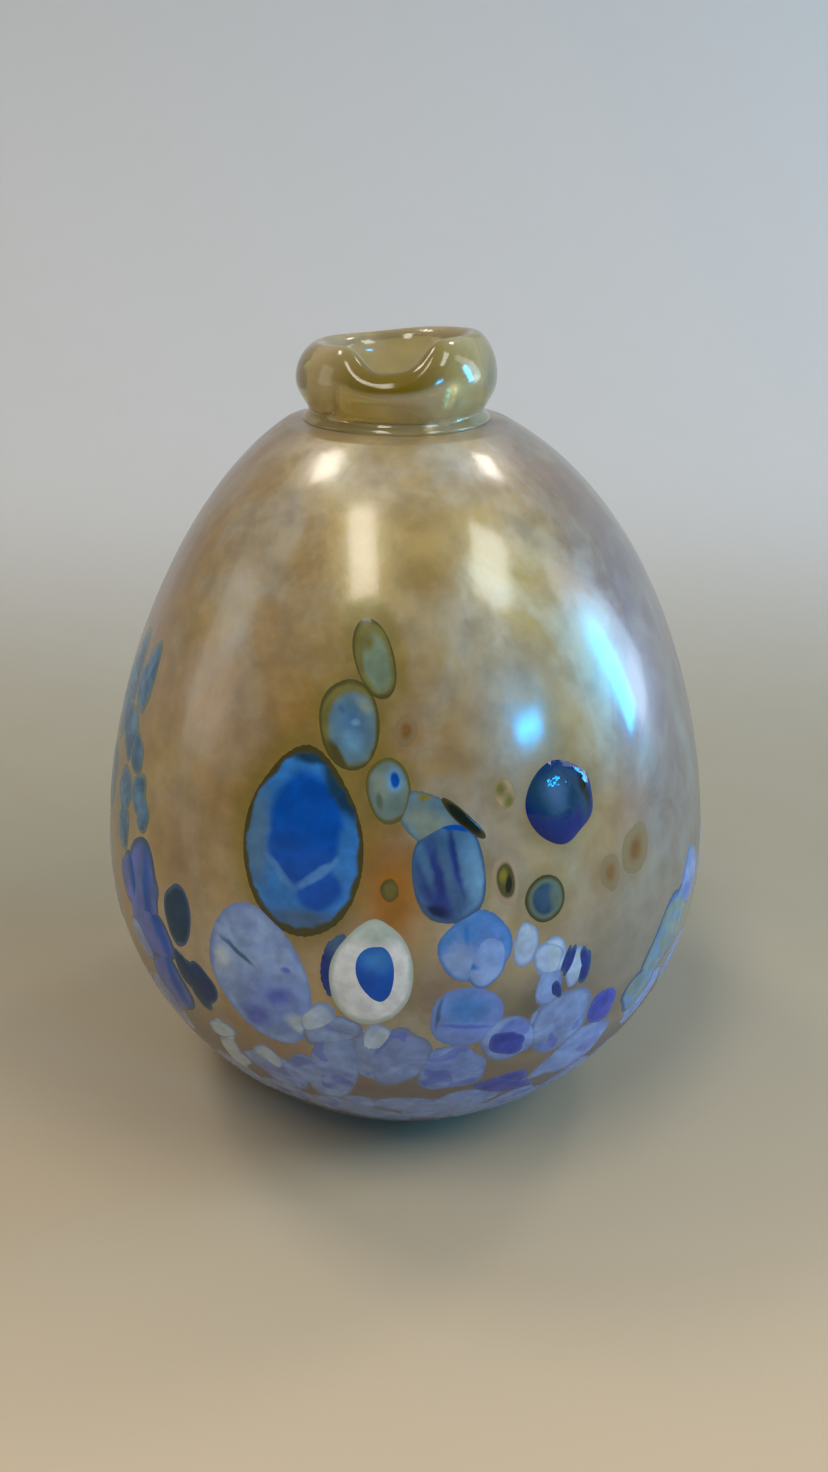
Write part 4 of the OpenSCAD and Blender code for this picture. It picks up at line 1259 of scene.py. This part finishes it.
class VASE_OT_side_chips(bpy.types.Operator):
    """Chips that wrap round the two sides"""

    bl_idname = "vase.side_chips"
    bl_label = "Side chips"

    def execute(self, context):
        c = context.scene.vase_colours
        steel = chip_glass("steel_chip_glass", c.slate_blue, c.sea_grey,
                           swirl=c.steel_blue, edge=(0.75, 1.0))
        navy = chip_glass("dark_navy_chip_glass", c.dark_teal, c.slate_blue,
                          swirl=c.navy)
        violet = chip_glass("side_violet_glass", c.violet_blue, c.slate_blue, [
            (c.strong_blue, (1.6, 1.0), (1.1, 6.0), 0, 0.7)], swirl=c.slate_blue,
            swirl_share=0.4)
        teal = chip_glass("side_teal_glass", c.sea_grey, c.slate_blue,
                          swirl=c.sky_blue, swirl_share=0.6)
        chips_piece(context, "left_steel_chips", steel, "grey_blue_glass", grow=1.35,
                    rough=0.08)
        chips_piece(context, "left_streak_chip", navy, "grey_blue_glass", grow=1.1)
        chips_piece(context, "right_teal_chip", teal, "grey_blue_glass", rough=0.08)
        chips_piece(context, "left_navy_chip", navy, "navy_glass", grow=1.1, rough=0.08)
        chips_piece(context, "left_cobalt_chip", violet, "violet_glass", grow=1.25)
        return {"FINISHED"}


class VASE_OT_back_chips(bpy.types.Operator):
    """Chips of the back"""

    bl_idname = "vase.back_chips"
    bl_label = "Back chips"

    def execute(self, context):
        c = context.scene.vase_colours
        blue = chip_glass("back_blue_glass", c.steel_blue, c.olive, [
            (c.mid_blue, (0.2, 0.2), (2.0, 2.8), 0, 0.6)], swirl=c.sky_blue,
            edge=(0.82, 1.0), ring=c.dark_teal)
        pale = chip_glass("back_pale_glass", c.periwinkle, c.steel_grey,
                          swirl=c.pale_blue, vary=c.steel_grey, swirl_share=0.7,
                          edge=(0.8, 1.0), spots=c.violet_blue)
        chips_piece(context, "back_blue_chips", blue, "grey_blue_glass", rough=0.05)
        chips_piece(context, "back_pale_chips", pale, "pale_blue_glass", rough=0.09,
                    grow=1.1, spokes=64)
        chips_piece(context, "back_band_chips", pale, "pale_blue_glass", grow=1.3,
                    rough=0.11, rise=0.03 * MM)
        return {"FINISHED"}


class VASE_OT_stage(bpy.types.Operator):
    """Pale floor that sweeps up into a backdrop, soft lights and the camera"""

    bl_idname = "vase.stage"
    bl_label = "Stage"

    def execute(self, context):
        colours, stage = context.scene.vase_colours, context.scene.vase_stage
        self.sweep(colours)
        self.lights(context)
        self.camera(context, stage)
        return {"FINISHED"}

    def sweep(self, colours):
        """A floor, a quarter circle and a wall, carried sideways."""
        start = SWEEP_WALL - SWEEP_BEND
        turn = np.linspace(0, math.pi / 2, 24)
        y = np.concatenate([np.linspace(SWEEP_FRONT, start, 20)[:-1],
                            start + SWEEP_BEND * np.sin(turn), [SWEEP_WALL]])
        z = np.concatenate([np.zeros(19), SWEEP_BEND * (1 - np.cos(turn)), [SWEEP_TOP]]) - TUCK
        x = np.linspace(-SWEEP_SIDE, SWEEP_SIDE, 12)
        rows, sides = np.meshgrid(np.arange(len(y)), x, indexing="ij")
        points = np.stack([sides, y[rows], z[rows]], axis=-1).reshape(-1, 3)
        sweep = mesh_piece("studio_sweep", points, grid_faces(len(y), len(x), False))
        n = Nodes("sweep_paper")
        place = n.coordinates()
        depth = n.add("ShaderNodeSeparateXYZ", {"Vector": place}).outputs["Y"]
        grain = n.noise(place, 60.0, detail=4.0)
        base = n.mix(n.span(depth, -0.14, 0.06), rgba(colours.floor), rgba(colours.floor_far))
        base = n.mix(n.span(depth, 0.06, 0.36), base, rgba(colours.backdrop))
        base = n.mix(n.span(grain, 0.3, 0.7, 0.0, 0.05), base, (0.4, 0.36, 0.3, 1))
        sweep.data.materials.append(n.finish(Base_Color=base, Roughness=0.8))

    def strip(self, context, name, first, last, width, power, tint, distance=1.2):
        """A strip light that runs from one direction to another, each given as an azimuth
        to the right of the front and an elevation."""
        ends = []
        for azimuth, elevation in (first, last):
            a, e = math.radians(azimuth), math.radians(elevation)
            ends.append(np.array([math.sin(a) * math.cos(e), -math.cos(a) * math.cos(e),
                                  math.sin(e)]))
        back = ends[0] + ends[1]
        back = back / np.linalg.norm(back)
        run = ends[1] - ends[0]
        up = run - back * (run @ back)
        up = up / np.linalg.norm(up)
        light = bpy.data.lights.new(name, "AREA")
        light.shape = "RECTANGLE"
        light.size = width * distance
        light.size_y = max(float(np.linalg.norm(run)) * distance, width * distance)
        light.energy = power * light.size * light.size_y
        light.color = tint
        lamp = bpy.data.objects.new(name, light)
        aim = Matrix.Identity(3)
        aim.col[0], aim.col[1], aim.col[2] = np.cross(up, back), up, back
        middle = back * distance + np.array([0, 0, BODY_HIGH.z * 0.6])
        lamp.matrix_world = Matrix.Translation(middle.tolist()) @ aim.to_4x4()
        lamp.visible_camera = False
        context.scene.collection.objects.link(lamp)

    def lights(self, context):
        """Lights where the vase shows them, and the air around."""
        for row in STRIPS:
            self.strip(context, *row)
        world = bpy.data.worlds.new("studio_air")
        world.use_nodes = True
        sky = world.node_tree.nodes["Background"]
        sky.inputs["Color"].default_value = (0.88, 0.90, 0.90, 1)
        seen = world.node_tree.nodes.new("ShaderNodeLightPath").outputs["Is Camera Ray"]
        strength = world.node_tree.nodes.new("ShaderNodeMapRange")
        world.node_tree.links.new(seen, strength.inputs["Value"])
        strength.inputs["To Min"].default_value = AIR_LIGHT
        strength.inputs["To Max"].default_value = AIR_SEEN
        world.node_tree.links.new(strength.outputs["Result"], sky.inputs["Strength"])
        context.scene.world = world
        context.scene.view_settings.view_transform = "Standard"

    def camera(self, context, stage):
        data = bpy.data.cameras.new("camera")
        data.lens, data.sensor_width, data.clip_start = stage.lens, SENSOR_WIDTH, NEAREST
        camera = bpy.data.objects.new("camera", data)
        context.scene.collection.objects.link(camera)
        place = Matrix.Translation((stage.camera_side, -stage.camera_back, stage.camera_height))
        camera.matrix_world = (place @ Matrix.Rotation(math.pi / 2 - stage.camera_pitch, 4, "X")
                               @ Matrix.Rotation(stage.camera_roll, 4, "Z"))
        context.scene.camera = camera


PIECE_OPERATORS = [VASE_OT_bubble, VASE_OT_lip, VASE_OT_seal, VASE_OT_eye_chips,
                   VASE_OT_oval_chips, VASE_OT_run_chips, VASE_OT_murrine,
                   VASE_OT_single_chips, VASE_OT_cobalt_chip, VASE_OT_pale_chips,
                   VASE_OT_side_chips, VASE_OT_back_chips, VASE_OT_stage]


class VASE_PT_panel(bpy.types.Panel):
    """Lists the sizes, the colours and the operators"""

    bl_idname = "VASE_PT_panel"
    bl_label = "Blown Glass Vase"
    bl_space_type = "VIEW_3D"
    bl_region_type = "UI"
    bl_category = "Vase"

    def draw(self, context):
        for group in (context.scene.vase_shape, context.scene.vase_colours,
                      context.scene.vase_stage):
            box = self.layout.box()
            for key in group.__annotations__:
                box.prop(group, key)
        for operator in PIECE_OPERATORS:
            self.layout.operator(operator.bl_idname)


CLASSES = [VaseShape, VaseColours, VaseStage, *PIECE_OPERATORS, VASE_PT_panel]


def register():
    for cls in CLASSES:
        bpy.utils.register_class(cls)
    bpy.types.Scene.vase_shape = PointerProperty(type=VaseShape)
    bpy.types.Scene.vase_colours = PointerProperty(type=VaseColours)
    bpy.types.Scene.vase_stage = PointerProperty(type=VaseStage)


def unregister():
    del bpy.types.Scene.vase_stage
    del bpy.types.Scene.vase_colours
    del bpy.types.Scene.vase_shape
    for cls in reversed(CLASSES):
        bpy.utils.unregister_class(cls)


def main():
    register()
    bpy.ops.vase.stage()
    bpy.ops.vase.bubble()
    bpy.ops.vase.lip()
    bpy.ops.vase.seal()
    bpy.ops.vase.eye_chips()
    bpy.ops.vase.oval_chips()
    bpy.ops.vase.run_chips()
    bpy.ops.vase.murrine()
    bpy.ops.vase.single_chips()
    bpy.ops.vase.cobalt_chip()
    bpy.ops.vase.pale_chips()
    bpy.ops.vase.side_chips()
    bpy.ops.vase.back_chips()


if __name__ == "__main__":
    main()
